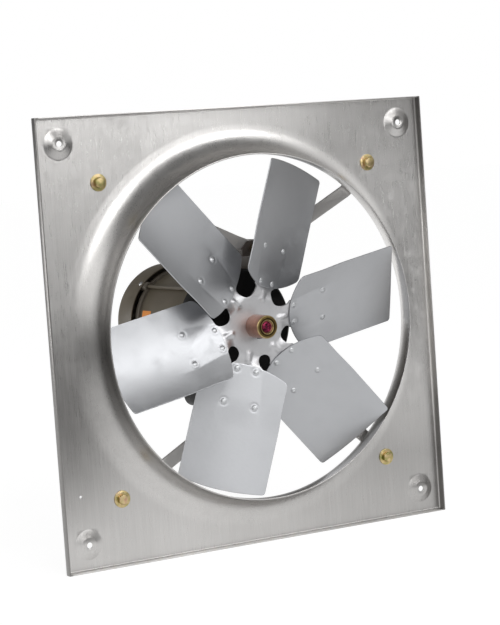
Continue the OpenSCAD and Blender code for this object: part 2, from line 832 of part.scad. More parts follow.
module front_bearing_outer_race() outer_race(front_bearing, front_bearing_front_z);
module front_bearing_inner_race() inner_race(front_bearing, front_bearing_front_z);
module rear_bearing_outer_race() outer_race(rear_bearing, rear_bearing_front_z);
module rear_bearing_inner_race() inner_race(rear_bearing, rear_bearing_front_z);
module front_bearing_balls() ball_set(front_bearing, front_bearing_front_z);
module rear_bearing_balls() ball_set(rear_bearing, rear_bearing_front_z);

module wave_washer()
  color(bright_colour) upright()
    ring_between(rim_r(rear_bearing) - fit_gap, outer_race_inner_r(rear_bearing),
      rear_bearing_rear_z - fit_gap, rear_bearing_rear_z - fit_gap - wave_washer_t);

module at_cap_screws(z)
  for (a = cap_screw_angles) rotate([0, 0, a]) translate([cap_screw_circle_r, 0, z]) children();

module bearing_cap()
  color(black_colour) upright()
    difference() {
      ring_between(front_hub_r, rotor_seat_r + flame_gap,
        front_bearing_rear_z, front_bearing_rear_z - cap_t);
      rod_between(outer_race_inner_r(front_bearing), front_bearing_rear_z + overrun,
        front_bearing_rear_z - race_relief);
      at_cap_screws(front_bearing_rear_z - cap_t - overrun)
        cylinder(d = cap_screw_d + bolt_gap, h = cap_t + 2 * overrun, $fn = small_fn);
    }

module bearing_cap_screws()
  color(bright_colour) upright() at_cap_screws(front_bearing_rear_z - cap_t) {
    cylinder(d = cap_screw_d, h = cap_screw_l, $fn = small_fn);
    translate([0, 0, -cap_screw_head_h])
      cylinder(d = cap_screw_head_d, h = cap_screw_head_h, $fn = small_fn);
  }

// Conduit box, below the shell

module box_outline(inset) {
  half = box_w / 2 - inset;
  r = box_corner_r - inset;
  floor_y = -box_drop + inset;
  translate([-half, floor_y + r]) square([2 * half, box_drop - box_corner_r]);
  translate([-half + r, floor_y]) square([2 * half - 2 * r, r + overrun]);
  for (side = [-1, 1]) translate([side * (half - r), floor_y + r]) circle(r = r);
}

module at_cover_screws(z)
  for (side = [-1, 1]) for (y = cover_screw_ys) translate([side * cover_screw_x, y, z]) children();

module at_ground_screw()
  translate([-box_w / 2 + box_wall, conduit_y, shell_middle_z]) rotate([0, 90, 0]) children();

module below(y) translate([-box_w, y - box_drop, box_rear_z - box_l]) cube([2 * box_w, box_drop, 3 * box_l]);

module conduit_box()
  color(black_colour) upright()
    difference() {
      union() {
        difference() {
          intersection() {
            translate([0, 0, box_rear_z]) linear_extrude(box_l) box_outline(0);
            below(0);
          }
          intersection() {
            translate([0, 0, box_rear_z + box_wall]) linear_extrude(box_l) box_outline(box_wall);
            below(-shell_r - box_roof);
          }
        }
        at_cover_screws(box_front_z - cover_screw_l)
          cylinder(r = cover_boss_r, h = cover_screw_l, $fn = small_fn);
        translate([0, conduit_y, box_rear_z - conduit_hub_l]) cylinder(r = conduit_hub_r, h = conduit_hub_l);
      }
      rod_between(shell_r, box_rear_z - overrun, box_front_z + overrun);
      translate([0, conduit_y, box_rear_z - conduit_hub_l - overrun])
        cylinder(d = conduit_d, h = conduit_hub_l + box_wall + 2 * overrun);
      at_cover_screws(box_front_z - cover_screw_l)
        cylinder(d = cover_screw_d + 2 * fit_gap, h = cover_screw_l + overrun, $fn = small_fn);
      lead_hole();
      at_ground_screw() translate([0, 0, -ground_screw_l - 2 * fit_gap])
        cylinder(d = ground_screw_d + 2 * fit_gap, h = ground_screw_l + overrun, $fn = small_fn);
    }

module conduit_cover()
  color(black_colour) upright()
    difference() {
      intersection() {
        translate([0, 0, box_front_z]) linear_extrude(cover_t) box_outline(0);
        below(-shell_r / 2);
      }
      rod_between(shell_r + bolt_gap, box_front_z - overrun, box_front_z + cover_t + overrun);
      at_cover_screws(box_front_z - overrun)
        cylinder(d = cover_screw_d + bolt_gap, h = cover_t + 2 * overrun, $fn = small_fn);
    }

module conduit_cover_screws()
  color(bright_colour) upright() at_cover_screws(box_front_z + cover_t) {
    translate([0, 0, -cover_screw_l]) cylinder(d = cover_screw_d, h = cover_screw_l, $fn = small_fn);
    dome(cover_screw_head_d / 2, cover_screw_head_h);
  }

module terminal_block()
  color(black_colour) upright()
    translate([0, -shell_r - box_roof - terminal_size.y, box_front_z - box_wall - terminal_size.z]) {
      translate([-terminal_size.x / 2, 0, 0]) cube(terminal_size);
      for (i = [-1:1]) translate([i * terminal_pitch, terminal_size.y / 2, terminal_size.z])
        cylinder(r = terminal_post_r, h = terminal_post_h, $fn = small_fn);
    }

module ground_screw()
  color("green") upright() at_ground_screw()
    hex_bolt(ground_head_af, ground_head_h, ground_screw_d, ground_screw_l);

// Rear shroud

module fan_shroud()
  color(taupe_colour) upright()
    difference() {
      union() {
        ring_between(shroud_r, shroud_r - shroud_t, shroud_front_z, shroud_rear_z + shroud_edge_r);
        rotate_extrude() {
          translate([shroud_r - shroud_edge_r, shroud_rear_z + shroud_edge_r]) intersection() {
            difference() {
              circle(r = shroud_edge_r);
              circle(r = shroud_edge_r - shroud_t);
            }
            translate([0, -shroud_edge_r]) square(shroud_edge_r);
          }
          translate([0, shroud_rear_z]) square([shroud_r - shroud_edge_r, shroud_t]);
        }
      }
      for (i = [0:shroud_slots - 1]) rotate([0, 0, i * 360 / shroud_slots])
        translate([shroud_slot_in_r, -shroud_slot_w / 2, shroud_rear_z - overrun])
          cube([shroud_slot_out_r - shroud_slot_in_r, shroud_slot_w, shroud_t + 2 * overrun]);
      for (a = rod_angles) rotate([0, 0, a])
        translate([shroud_r - shroud_screw_l, 0, shroud_screw_z]) rotate([0, 90, 0])
          cylinder(d = shroud_screw_d + bolt_gap, h = shroud_screw_l + overrun, $fn = small_fn);
    }

module shroud_screws()
  color(bright_colour) upright() for (a = rod_angles) rotate([0, 0, a])
    translate([shroud_r + fit_gap, 0, shroud_screw_z]) rotate([0, 90, 0]) {
      translate([0, 0, -shroud_screw_l + overrun])
        cylinder(d = shroud_screw_d, h = shroud_screw_l - overrun, $fn = small_fn);
      dome(shroud_screw_head_d / 2, shroud_screw_head_h);
    }

// Nameplate and label, curved to the shell

plate_middle_angle = (plate_angles[0] + plate_angles[1]) / 2;
plate_rivet_stations = [for (side = [-1, 1]) shell_middle_z + side * (plate_l / 2 - plate_rivet_inset)];

module skin_patch(angles, t, front_z, l)
  rotate([0, 0, angles[0]]) rotate_extrude(angle = angles[1] - angles[0])
    translate([shell_r + fit_gap, front_z - l]) square([t, l]);

module nameplate()
  color(bright_colour) upright()
    difference() {
      skin_patch(plate_angles, plate_t, shell_middle_z + plate_l / 2, plate_l);
      for (z = plate_rivet_stations) rotate([0, 0, plate_middle_angle])
        translate([shell_inner_r, 0, z]) rotate([0, 90, 0])
          cylinder(r = plate_rivet_r + fit_gap, h = shell_t + plate_t + overrun, $fn = small_fn);
    }

module nameplate_rivets()
  color(bright_colour) upright() for (z = plate_rivet_stations) rotate([0, 0, plate_middle_angle])
    translate([shell_r + plate_t + 2 * fit_gap, 0, z]) rotate([0, 90, 0]) {
      translate([0, 0, -plate_rivet_l]) cylinder(r = plate_rivet_r, h = plate_rivet_l, $fn = small_fn);
      dome(2 * plate_rivet_r, plate_rivet_h);
    }

module orange_label()
  color([0.93, 0.49, 0.19]) upright() skin_patch(label_angles, label_t, label_front_z, label_l);

// Shaft and rotor

module motor_shaft()
  color(bright_colour) upright()
    difference() {
      union() {
        rod_between(shaft_r, shaft_front_z - shaft_chamfer, front_bearing_rear_z);
        translate([0, 0, shaft_front_z - shaft_chamfer])
          cylinder(r1 = shaft_r, r2 = shaft_r - shaft_chamfer, h = shaft_chamfer);
        rod_between(bore_r(front_bearing), front_bearing_front_z, front_bearing_rear_z);
        rod_between(rotor_seat_r, front_bearing_rear_z, rear_bearing_front_z);
        rod_between(bore_r(rear_bearing), rear_bearing_front_z, rear_bearing_rear_z);
        rod_between(rear_end_r, rear_bearing_front_z, shaft_rear_z);
      }
      translate([0, 0, shaft_front_z - centre_hole_depth])
        cylinder(r = centre_hole_r, h = centre_hole_depth + overrun, $fn = small_fn);
    }

module rotor_core()
  color(bright_colour) upright()
    ring_between(rotor_r, rotor_seat_r, stator_middle_z - stator_l / 2, stator_middle_z + stator_l / 2);

module rotor_end_rings()
  color(bright_colour) upright() for (flip = [0, 1]) translate([0, 0, stator_middle_z]) mirror([0, 0, flip])
    ring_between(rotor_r - 2 * flame_gap, end_ring_in_r, stator_l / 2, stator_l / 2 + end_ring_h);

module shaft_slinger()
  color(black_colour) upright() {
    slinger_rear_z = bell_face_z + bell_boss_h + slinger_clear;
    difference() {
      union() {
        rod_between(slinger_lip_r, slinger_rear_z, slinger_rear_z + slinger_l);
        rod_between(slinger_r, slinger_rear_z, slinger_rear_z + slinger_l / 3);
      }
      rod_between(shaft_r, slinger_rear_z - overrun, slinger_rear_z + slinger_l + overrun);
    }
  }

module cooling_fan()
  color(black_colour) upright()
    difference() {
      union() {
        rod_between(cooling_hub_r, cooling_rear_z, cooling_rear_z + cooling_hub_l);
        rod_between(cooling_r, cooling_rear_z + cooling_blade_h,
          cooling_rear_z + cooling_blade_h + cooling_plate_t);
        for (i = [0:cooling_blades - 1]) rotate([0, 0, i * 360 / cooling_blades])
          translate([cooling_hub_r - overrun, -cooling_blade_t / 2, cooling_rear_z])
            cube([cooling_r - cooling_hub_r, cooling_blade_t, cooling_blade_h + overrun]);
      }
      rod_between(rear_end_r, cooling_rear_z - overrun, cooling_rear_z + cooling_hub_l + overrun);
      cooling_screw_hole();
    }

module cooling_screw_hole()
  rotate([0, 0, 180 / cooling_blades])
    translate([rear_end_r - overrun, 0, cooling_rear_z + cooling_blade_h / 2]) rotate([0, 90, 0])
      cylinder(r = cooling_screw_r + fit_gap, h = cooling_hub_r, $fn = small_fn);

module cooling_fan_screw()
  color(bright_colour) upright() rotate([0, 0, 180 / cooling_blades])
    translate([rear_end_r + fit_gap, 0, cooling_rear_z + cooling_blade_h / 2]) rotate([0, 90, 0])
      cylinder(r = cooling_screw_r, h = cooling_hub_r - rear_end_r - 2 * fit_gap, $fn = small_fn);

// Hub bush and its set screws

module at_set_screws() for (a = set_screw_angles) rotate([0, 0, a])
  translate([shaft_r, 0, set_screw_z]) rotate([0, 90, 0]) children();

module hub_bush()
  color(copper_colour) upright()
    difference() {
      union() {
        rod_between(bush_r, spider_front_z, bush_front - bush_chamfer);
        translate([0, 0, bush_front - bush_chamfer])
          cylinder(r1 = bush_r, r2 = bush_r - bush_chamfer, h = bush_chamfer);
        rod_between(bush_spigot_r, spider_front_z + overrun, spider_front_z - spider_t - bush_stake_h);
        rod_between(bush_stake_r, spider_front_z - spider_t, spider_front_z - spider_t - bush_stake_h);
      }
      rod_between(shaft_r + fit_gap / 2,
        spider_front_z - spider_t - bush_stake_h - overrun, bush_front + overrun);
      translate([0, 0, bush_front - bush_mouth_chamfer]) cylinder(
        r1 = shaft_r, r2 = shaft_r + bush_mouth_chamfer + overrun, h = bush_mouth_chamfer + overrun);
      at_set_screws() translate([0, 0, -overrun])
        cylinder(r = set_screw_r + fit_gap, h = bush_r + overrun, $fn = small_fn);
    }

module hub_set_screws()
  color(black_colour) upright() at_set_screws() {
    length = bush_r - shaft_r + set_screw_proud;
    difference() {
      translate([0, 0, fit_gap]) cylinder(r = set_screw_r, h = length - fit_gap, $fn = small_fn);
      translate([0, 0, length - set_screw_socket_depth]) hex_prism(set_screw_socket_af, length);
    }
  }

// Blades and spider. In an arm's own frame s runs outwards, p across the blade with its
// forward edge positive, and q along the blade's normal, towards the viewer.

module on_arm(k) rotate([0, 0, blade_phase - k * blade_step]) children();
module on_blade() translate([0, 0, blade_front]) rotate([blade_pitch, 0, 0]) children();
function blade_q(p) = blade_curve_r - sqrt(blade_curve_r * blade_curve_r - p * p);
function blade_y(p) = p * cos(blade_pitch) - blade_q(p) * sin(blade_pitch);
function tip_s(p) = sqrt(tip_r * tip_r - blade_y(p) * blade_y(p));
function root_edge_s(p) =
  let (r = p > 0 ? root_front_arc_r : root_rear_arc_r) root_s + r - sqrt(r * r - p * p);

tip_steps = 8;
root_steps = 8;
tip_shares = [for (i = [1:tip_steps - 1]) 1 - i / tip_steps];
root_share = 0.76;

function blade_outline() =
  let (
    front_root = [root_edge_s(blade_front_w), blade_front_w],
    rear_root = [root_edge_s(-blade_rear_w), -blade_rear_w],
    front_tip = [tip_s(blade_front_w), blade_front_w],
    rear_tip = [tip_s(blade_rear_w), -blade_rear_w],
    tip_line = [for (share = tip_shares)
      let (p = -blade_rear_w + (blade_front_w + blade_rear_w) * share) [tip_s(p), p]],
    root_line = [for (i = [0:root_steps])
      let (p = (-blade_rear_w + (blade_front_w + blade_rear_w) * i / root_steps) * root_share)
      [root_edge_s(p), p]]
  )
  rounded_outline(
    concat([front_root, front_tip], tip_line, [rear_tip, rear_root], root_line),
    concat([root_corner_r, tip_corner_r], [for (p = tip_line) 0], [tip_corner_r, root_corner_r],
      [for (p = root_line) 0])
  );

module rivet_holes()
  for (place = rivet_places) at_rivet(place) translate([0, 0, -blade_t - spider_t - overrun])
    cylinder(d = rivet_d + 2 * fit_gap, h = blade_t + spider_t + 2 * overrun, $fn = small_fn);

module at_rivet(place)
  on_blade() translate([place[0], place[1], blade_q(place[1])])
    rotate([asin(place[1] / blade_curve_r), 0, 0]) children();

module blade(k)
  color(blade_colour) upright() on_arm(k)
    difference() {
      on_blade() intersection() {
        translate([0, 0, -blade_front_w / 2]) linear_extrude(blade_rear_w) polygon(blade_outline());
        translate([0, 0, blade_curve_r]) rotate([0, 90, 0]) difference() {
          cylinder(r = blade_curve_r + blade_t, h = tip_r + overrun, $fn = big_fn);
          translate([0, 0, -overrun]) cylinder(r = blade_curve_r, h = tip_r + 3 * overrun, $fn = big_fn);
        }
      }
      rivet_holes();
    }

module blade_1() blade(0);
module blade_2() blade(1);
module blade_3() blade(2);
module blade_4() blade(3);
module blade_5() blade(4);
module blade_6() blade(5);

module blade_rivets()
  color(blade_colour) upright() for (k = [0:blade_count - 1]) on_arm(k) for (place = rivet_places)
    at_rivet(place) {
      grip = blade_t + seat_gap + spider_t;
      translate([0, 0, -grip - rivet_lift]) cylinder(d = rivet_d, h = grip + 2 * rivet_lift, $fn = small_fn);
      translate([0, 0, rivet_lift]) dome(rivet_head_r, rivet_head_h);
      translate([0, 0, -grip - rivet_lift]) mirror([0, 0, 1]) dome(rivet_head_r, rivet_head_h);
    }

// How far the arm has turned to the blade's pitch, from 0 on the flat hub to 1 under the blade
function eased(x) = let (c = max(0, min(1, x))) c * c * (3 - 2 * c);
function turned(s) = eased((s - twist_start_s) / (root_s - twist_start_s));
function rib(s, p) =
  rib_h * max(0, 1 - pow(p / rib_half_w, 2)) * eased((s - rib_start_s) / rib_half_w)
  * eased((root_s - s) / rib_half_w);

// Half the arm's width: the neighbours meet up to the crotch, and the end is round
crotch_s = arm_root_half_w / tan(blade_step / 2);
function arm_half_w(s) =
  s <= crotch_s ? s * tan(blade_step / 2)
  : s <= arm_round_s ? lookup(s, [
    [crotch_s, arm_root_half_w], [arm_seat_s, arm_seat_half_w], [arm_wide_s, arm_wide_half_w]
  ])
  : let (x = (s - arm_round_s) / (arm_end_s - arm_round_s))
    arm_tip_half_w + (arm_wide_half_w - arm_tip_half_w) * sqrt(max(0, 1 - x * x));

function sheet_q(p, r, at) = (blade_curve_r - sqrt(r * r - p * p)) * at + (blade_curve_r - r) * (1 - at);
function arm_point(s, p, depth) =
  let (
    at = turned(s),
    q = sheet_q(p, blade_curve_r + blade_t + seat_gap + depth, at) + rib(s, p),
    a = blade_pitch * at
  )
  [s, p * cos(a) - q * sin(a), blade_front + p * sin(a) + q * cos(a)];
function on_arm_point(k, point) =
  let (a = blade_phase - k * blade_step)
  [point.x * cos(a) - point.y * sin(a), point.x * sin(a) + point.y * cos(a), point.z];

arm_stations = concat(
  [rib_start_s, crotch_s],
  [for (i = [1:twist_rows]) twist_start_s + (root_s - twist_start_s) * i / twist_rows],
  [for (i = [1:seat_rows]) root_s + (arm_round_s - root_s) * i / seat_rows],
  [for (i = [1:end_rows]) arm_round_s + (arm_end_s - arm_round_s) * sin(90 * i / end_rows)]
);

// The whole sheet as one skin: the front and back surfaces, the arms' sides and their ends.
// Its rows run across an arm. The first two cross the flat hub, where neighbours share a corner.
module spider_sheet() {
  across = arm_columns + 1;
  rows = len(arm_stations);
  layer = 1 + blade_count * rows * across;
  function at(k, i, j) = i < 2 && j == arm_columns
    ? 1 + ((k + blade_count - 1) % blade_count * rows + i) * across
    : 1 + (k * rows + i) * across + j;
  points = [for (depth = [0, spider_t]) each concat(
    [[0, 0, spider_front_z - depth]],
    [for (k = [0:blade_count - 1]) for (s = arm_stations) for (j = [0:arm_columns])
      on_arm_point(k, arm_point(s, arm_half_w(s) * (2 * j / arm_columns - 1), depth))]
  )];
  front = [for (k = [0:blade_count - 1]) for (j = [0:arm_columns - 1]) each concat(
    [[0, at(k, 0, j + 1), at(k, 0, j)]],
    [for (i = [0:rows - 2]) each [
      [at(k, i, j), at(k, i, j + 1), at(k, i + 1, j + 1)],
      [at(k, i, j), at(k, i + 1, j + 1), at(k, i + 1, j)]
    ]]
  )];
  rim = [for (k = [0:blade_count - 1]) each concat(
    [for (i = [1:rows - 2]) [at(k, i, 0), at(k, i + 1, 0)]],
    [for (j = [0:arm_columns - 1]) [at(k, rows - 1, j), at(k, rows - 1, j + 1)]],
    [for (i = [rows - 2:-1:1]) [at(k, i + 1, arm_columns), at(k, i, arm_columns)]]
  )];
  polyhedron(convexity = 6, points = points, faces = concat(
    front,
    [for (f = front) [layer + f[0], layer + f[2], layer + f[1]]],
    [for (e = rim) each [[e[0], e[1], layer + e[1]], [e[0], layer + e[1], layer + e[0]]]]
  ));
}

module hub_spider()
  color(blade_colour) upright()
    difference() {
      spider_sheet();
      rod_between(bush_spigot_r + fit_gap, spider_front_z - 2 * spider_t, spider_front_z + spider_t);
      for (k = [0:blade_count - 1]) {
        rotate([0, 0, relief_phase - k * blade_step]) translate([relief_circle_r, 0, 0])
          cylinder(r = relief_r, h = collar_h);
        on_arm(k) rivet_holes();
      }
    }

orifice_panel();
strap_upper_left();
strap_upper_right();
strap_lower_left();
strap_lower_right();
panel_bolts();
panel_washers();
panel_nuts();
motor_mount_plate();
mount_bolts();
mount_nuts();
motor_base();
base_bolts();
base_nuts();
motor_shell();
front_end_bell();
rear_end_bell();
tie_rods();
stator_core();
stator_winding();
front_bearing_outer_race();
rear_bearing_outer_race();
wave_washer();
bearing_cap();
bearing_cap_screws();
conduit_box();
conduit_cover();
conduit_cover_screws();
terminal_block();
ground_screw();
fan_shroud();
shroud_screws();
nameplate();
nameplate_rivets();
orange_label();
motor_shaft();
rotor_core();
rotor_end_rings();
front_bearing_inner_race();
rear_bearing_inner_race();
front_bearing_balls();
rear_bearing_balls();
shaft_slinger();
cooling_fan();
cooling_fan_screw();
hub_bush();
hub_set_screws();
hub_spider();
blade_1();
blade_2();
blade_3();
blade_4();
blade_5();
blade_6();
blade_rivets();
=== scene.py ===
# %% [markdown]
# # A panel exhaust fan
# The fan is a square pressed sheet with a round collar, a riveted propeller in the collar, and a
# motor that four flat straps hold behind it. The solid model already fixes every size and place.
# This script dresses it: it gives each piece its real surface, and models anew the pieces whose
# form is softer or finer than a plain solid shows. Everything could be modelled from nothing, but
# then two sets of sizes would have to agree. Here the solids are the measure of all that follows.

# %% Load the solid model
import json
from math import asin, cos, pi, radians, sin, sqrt, tan

import bmesh
import bpy
from mathutils import Matrix, Vector


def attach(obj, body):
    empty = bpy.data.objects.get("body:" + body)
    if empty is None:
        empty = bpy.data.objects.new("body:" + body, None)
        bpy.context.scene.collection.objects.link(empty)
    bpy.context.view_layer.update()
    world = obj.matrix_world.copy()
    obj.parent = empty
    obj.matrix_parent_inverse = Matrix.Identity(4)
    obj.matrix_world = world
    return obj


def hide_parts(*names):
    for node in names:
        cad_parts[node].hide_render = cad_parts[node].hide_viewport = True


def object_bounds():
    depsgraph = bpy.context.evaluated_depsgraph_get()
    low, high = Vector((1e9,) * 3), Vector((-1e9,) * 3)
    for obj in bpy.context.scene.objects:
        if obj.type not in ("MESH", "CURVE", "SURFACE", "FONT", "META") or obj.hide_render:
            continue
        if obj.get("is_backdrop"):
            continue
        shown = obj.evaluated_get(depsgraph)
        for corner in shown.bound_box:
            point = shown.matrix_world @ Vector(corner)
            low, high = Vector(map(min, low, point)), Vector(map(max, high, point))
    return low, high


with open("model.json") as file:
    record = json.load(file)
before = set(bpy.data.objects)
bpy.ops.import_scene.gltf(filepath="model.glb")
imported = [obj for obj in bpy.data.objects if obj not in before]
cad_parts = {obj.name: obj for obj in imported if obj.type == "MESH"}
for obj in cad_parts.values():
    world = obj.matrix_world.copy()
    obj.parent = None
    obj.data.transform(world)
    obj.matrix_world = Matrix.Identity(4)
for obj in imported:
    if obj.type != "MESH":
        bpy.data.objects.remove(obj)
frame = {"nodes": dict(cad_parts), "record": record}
nodes = frame["nodes"]
solid_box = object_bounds()
print(len(nodes), "solid pieces loaded")

# %% [markdown]
# ## Where things are
# All sizes below are in millimetres, as seen from the fan's front: u to the right, v up and w
# towards the viewer, with the shaft along w. A drawing of a fan is laid out in just this way, so its
# numbers can be written as they are. One helper turns such a place into the scene's metres, in which
# the fan's front faces -Y and Z is up.

# %% Places and sizes
MM = 0.001
UPRIGHT = Matrix(((1, 0, 0), (0, 0, -1), (0, 1, 0)))


def at(u, v, w):
    """A place on the fan, in the scene's metres."""
    return UPRIGHT @ Vector((u, v, w)) * MM


PANEL_HALF, SHEET, RIM = 330.2, 1.9, 12.7
THROAT_R, COVE_R, COLLAR_H = 257.0, 45.0, 55.5
COVE_CENTRE_R = THROAT_R + SHEET + COVE_R
WALL_HOLES, BOLT_HOLES = 291.4, 232.2
PILOT = (-0.451 * 2 * PANEL_HALF, -0.333 * 2 * PANEL_HALF)
CORNERS = ((-1, 1), (1, 1), (-1, -1), (1, -1))
BLADES, FIRST_ARM, PITCH = 6, 71.0, radians(24.2)
SIXTH = 2 * pi / BLADES
BLADE_R, BLADE_T, BLADE_FRONT, SEAT_GAP, SPIDER_T = 234.0, 1.6, 24.5, 0.12, 2.6
print("panel", 2 * PANEL_HALF, "mm, throat", 2 * THROAT_R, "mm")

# %% [markdown]
# ## The camera
# A long lens far away gives the photograph's weak perspective. A camera can be set by eye, or by a
# constraint that tracks the object, but neither repeats a photograph exactly. This one's place was
# solved from the panel's edges, holes and bolts, so it's written down as a place and two directions.

# %% Camera
camera = bpy.data.objects.new("camera", bpy.data.cameras.new("camera"))
bpy.context.scene.collection.objects.link(camera)
camera.data.lens, camera.data.sensor_width = 116.97, 36
CAMERA_PLACE = (-1.4987, -2.6716, 0.2625)
ahead = Vector((0.4888, 0.8688, -0.0791)).normalized()
right = Vector((0.8667, -0.4940, -0.0696)).normalized()
turned = Matrix((right, right.cross(ahead), -ahead)).transposed().to_4x4()
camera.matrix_world = Matrix.Translation(CAMERA_PLACE) @ turned
bpy.context.scene.camera = camera
bpy.context.scene.view_settings.view_transform = "Standard"
print("camera", round(Vector(CAMERA_PLACE).length, 2), "m from the hub")

# %% [markdown]
# ## Shader sums as Python sums
# A material is a tree of nodes, and arithmetic in it needs one Math node per sign. Linking those by
# hand hides the sum that they stand for. A small class that wraps a node's output lets the sums be
# written as Python expressions instead, and one method adds any other kind of node.


# %% A wire of the node tree
class Wire:
    """An output of a node. Python's signs between wires and numbers add Math nodes."""

    def __init__(self, tree, socket=None):
        self.tree, self.socket = tree, socket

    def node(self, kind, inputs=None, output=0, **settings):
        """Adds a node: its settings first, then the values or wires of its inputs."""
        made = self.tree.nodes.new("ShaderNode" + kind)
        for i, (place, colour) in enumerate(settings.pop("stops", ())):
            stops = made.color_ramp.elements
            stop = stops[i] if i < len(stops) else stops.new(place)
            stop.position, stop.color = place, (*colour, 1)
        for name, value in settings.items():
            setattr(made, name, value)
        for name, value in (inputs or {}).items():
            if isinstance(value, Wire):
                self.tree.links.new(value.socket, made.inputs[name])
            else:
                made.inputs[name].default_value = value
        return Wire(self.tree, made.outputs[output]) if made.outputs else None

    def parts(self):
        """The three numbers of a vector."""
        outputs = self.node("SeparateXYZ", {0: self}).socket.node.outputs
        return [Wire(self.tree, output) for output in outputs]

    def maths(self, sign, a, b):
        return self.node("Math", {0: a, 1: b}, operation=sign)

    def __add__(self, other):
        return self.maths("ADD", self, other)

    def __sub__(self, other):
        return self.maths("SUBTRACT", self, other)

    def __rsub__(self, other):
        return self.maths("SUBTRACT", other, self)

    def __mul__(self, other):
        return self.maths("MULTIPLY", self, other)

    __radd__, __rmul__ = __add__, __mul__

    def clamped(self):
        return self.node("Clamp", {"Value": self})

    def between(self, low, high):
        """0 below low, 1 above high, and smooth from one to the other."""
        return self.node("MapRange", {"Value": self, "From Min": low, "From Max": high},
                         interpolation_type="SMOOTHSTEP")

    def near(self, centre, half):
        """1 at the centre, falling to 0 at half on either side of it."""
        off = (self - centre) * (1 / half)
        return (1 - off * off).clamped()

    def mixed(self, first, second):
        """The first colour where this is 0, and the second where it's 1."""
        ends = [c if isinstance(c, Wire) else (*c, 1) for c in (first, second)]
        return self.node("Mix", {0: self, 6: ends[0], 7: ends[1]}, 2, data_type="RGBA")


print("wires add, subtract, multiply and mix")

# %% [markdown]
# ## What every finish has
# A finish starts from the piece's own coordinates, so that its grain has a real size and turns with
# the piece. It ends in the one shader that serves metals, paint and plastic alike. Between the two
# comes noise. An unwrapped picture could take its place, but noise has no seams and stays sharp.

# %% Start and end of a finish
FINISHES = {}


def new_finish(slot):
    """An empty material for a slot, and the wire of a piece's own coordinates."""
    material = bpy.data.materials.new(slot)
    material.use_nodes = True
    material.node_tree.nodes.clear()
    FINISHES[slot] = material
    return Wire(material.node_tree).node("TexCoord", output="Object")


def noise(where, scale, detail=3.0, rough=0.5):
    """Noise from 0 to 1, with so many lumps to the metre along each axis."""
    scale = scale if isinstance(scale, tuple) else (scale,) * 3
    placed = where.node("Mapping", {"Vector": where, "Scale": scale})
    return where.node("TexNoise", {"Vector": placed, "Scale": 1.0, "Detail": detail, "Roughness": rough})


def smudges(where):
    """Smudges that handling leaves, from 0 to 1."""
    return noise(where, 45.0, 5.0, 0.6).between(0.45, 0.75)


def ends_in_shader(where, colour, roughness, bump, strength, **constants):
    """The Principled shader that every finish ends in, with its bump."""
    normal = where.node("Bump", {"Height": bump, "Strength": strength, "Distance": 0.001})
    named = {k.replace("_", " "): v for k, v in constants.items()}
    shader = where.node("BsdfPrincipled", {
        "Base Color": colour, "Roughness": roughness, "Normal": normal, **named})
    where.node("OutputMaterial", {"Surface": shader})


print("finishes can start and end")

# %% [markdown]
# ## Bare metals
# Bare metal takes its look from what it mirrors, so its colour can be nearly plain. What makes it
# real is its grain: fine lines from rolling or brushing that are long one way and narrow the other.
# A picture of brushed steel could give them, but it needs flat patches of the mesh to lie on and
# blurs close by. A noise that is stretched along one axis gives them at any size. The lines change
# the roughness and give a faint bump, and a slow drift makes whole areas a little duller or
# brighter, as handling does.


# %% Bare metals
def bare_metal(slot, bright, dull, rough, grain, strength=0.15, drift=9.0, metallic=1.0):
    """Grain is in lumps to the metre along each axis, and drift in slow areas to the metre."""
    where = new_finish(slot)
    slow, lines = noise(where, drift, 4.0), noise(where, grain, 4.0, 0.6)
    tone = (slow * 0.7 + lines * 0.5 - 0.1).clamped().mixed(dull, bright)
    roughness = (rough - 0.10 + lines * 0.16 + smudges(where) * 0.07).clamped()
    ends_in_shader(where, tone, roughness, lines, strength, Metallic=metallic)


bare_metal("strap_steel", (0.62, 0.605, 0.59), (0.50, 0.485, 0.47), 0.46, (900, 900, 60), 0.2, metallic=0.65)
bare_metal("bright_steel", (0.66, 0.66, 0.66), (0.50, 0.50, 0.50), 0.28, (700, 60, 700), 0.1)
bare_metal("blade_steel", (0.49, 0.497, 0.512), (0.42, 0.427, 0.442), 0.42, 260, 0.06, 7.0)
bare_metal("spider_steel", (0.58, 0.58, 0.59), (0.44, 0.44, 0.45), 0.44, 320, 0.14, 22.0)
bare_metal("rivet_steel", (0.60, 0.61, 0.62), (0.48, 0.49, 0.50), 0.48, 500, 0.1, 60.0)
bare_metal("plate_aluminium", (0.70, 0.70, 0.70), (0.60, 0.60, 0.60), 0.38, (60, 1200, 60), 0.1)
bare_metal("cast_aluminium", (0.62, 0.62, 0.63), (0.50, 0.50, 0.51), 0.50, 420, 0.4)
bare_metal("lamination", (0.42, 0.42, 0.44), (0.22, 0.22, 0.24), 0.45, (6, 1900, 6), 0.6)
bare_metal("copper_wire", (0.62, 0.27, 0.12), (0.34, 0.12, 0.05), 0.35, (40, 900, 40), 0.9)
bare_metal("black_screw", (0.06, 0.06, 0.065), (0.03, 0.03, 0.03), 0.42, 600, 0.2, metallic=0.6)
bare_metal("green_screw", (0.05, 0.34, 0.12), (0.03, 0.22, 0.07), 0.35, 600, 0.1, metallic=0.5)
print(len(FINISHES), "bare metals")
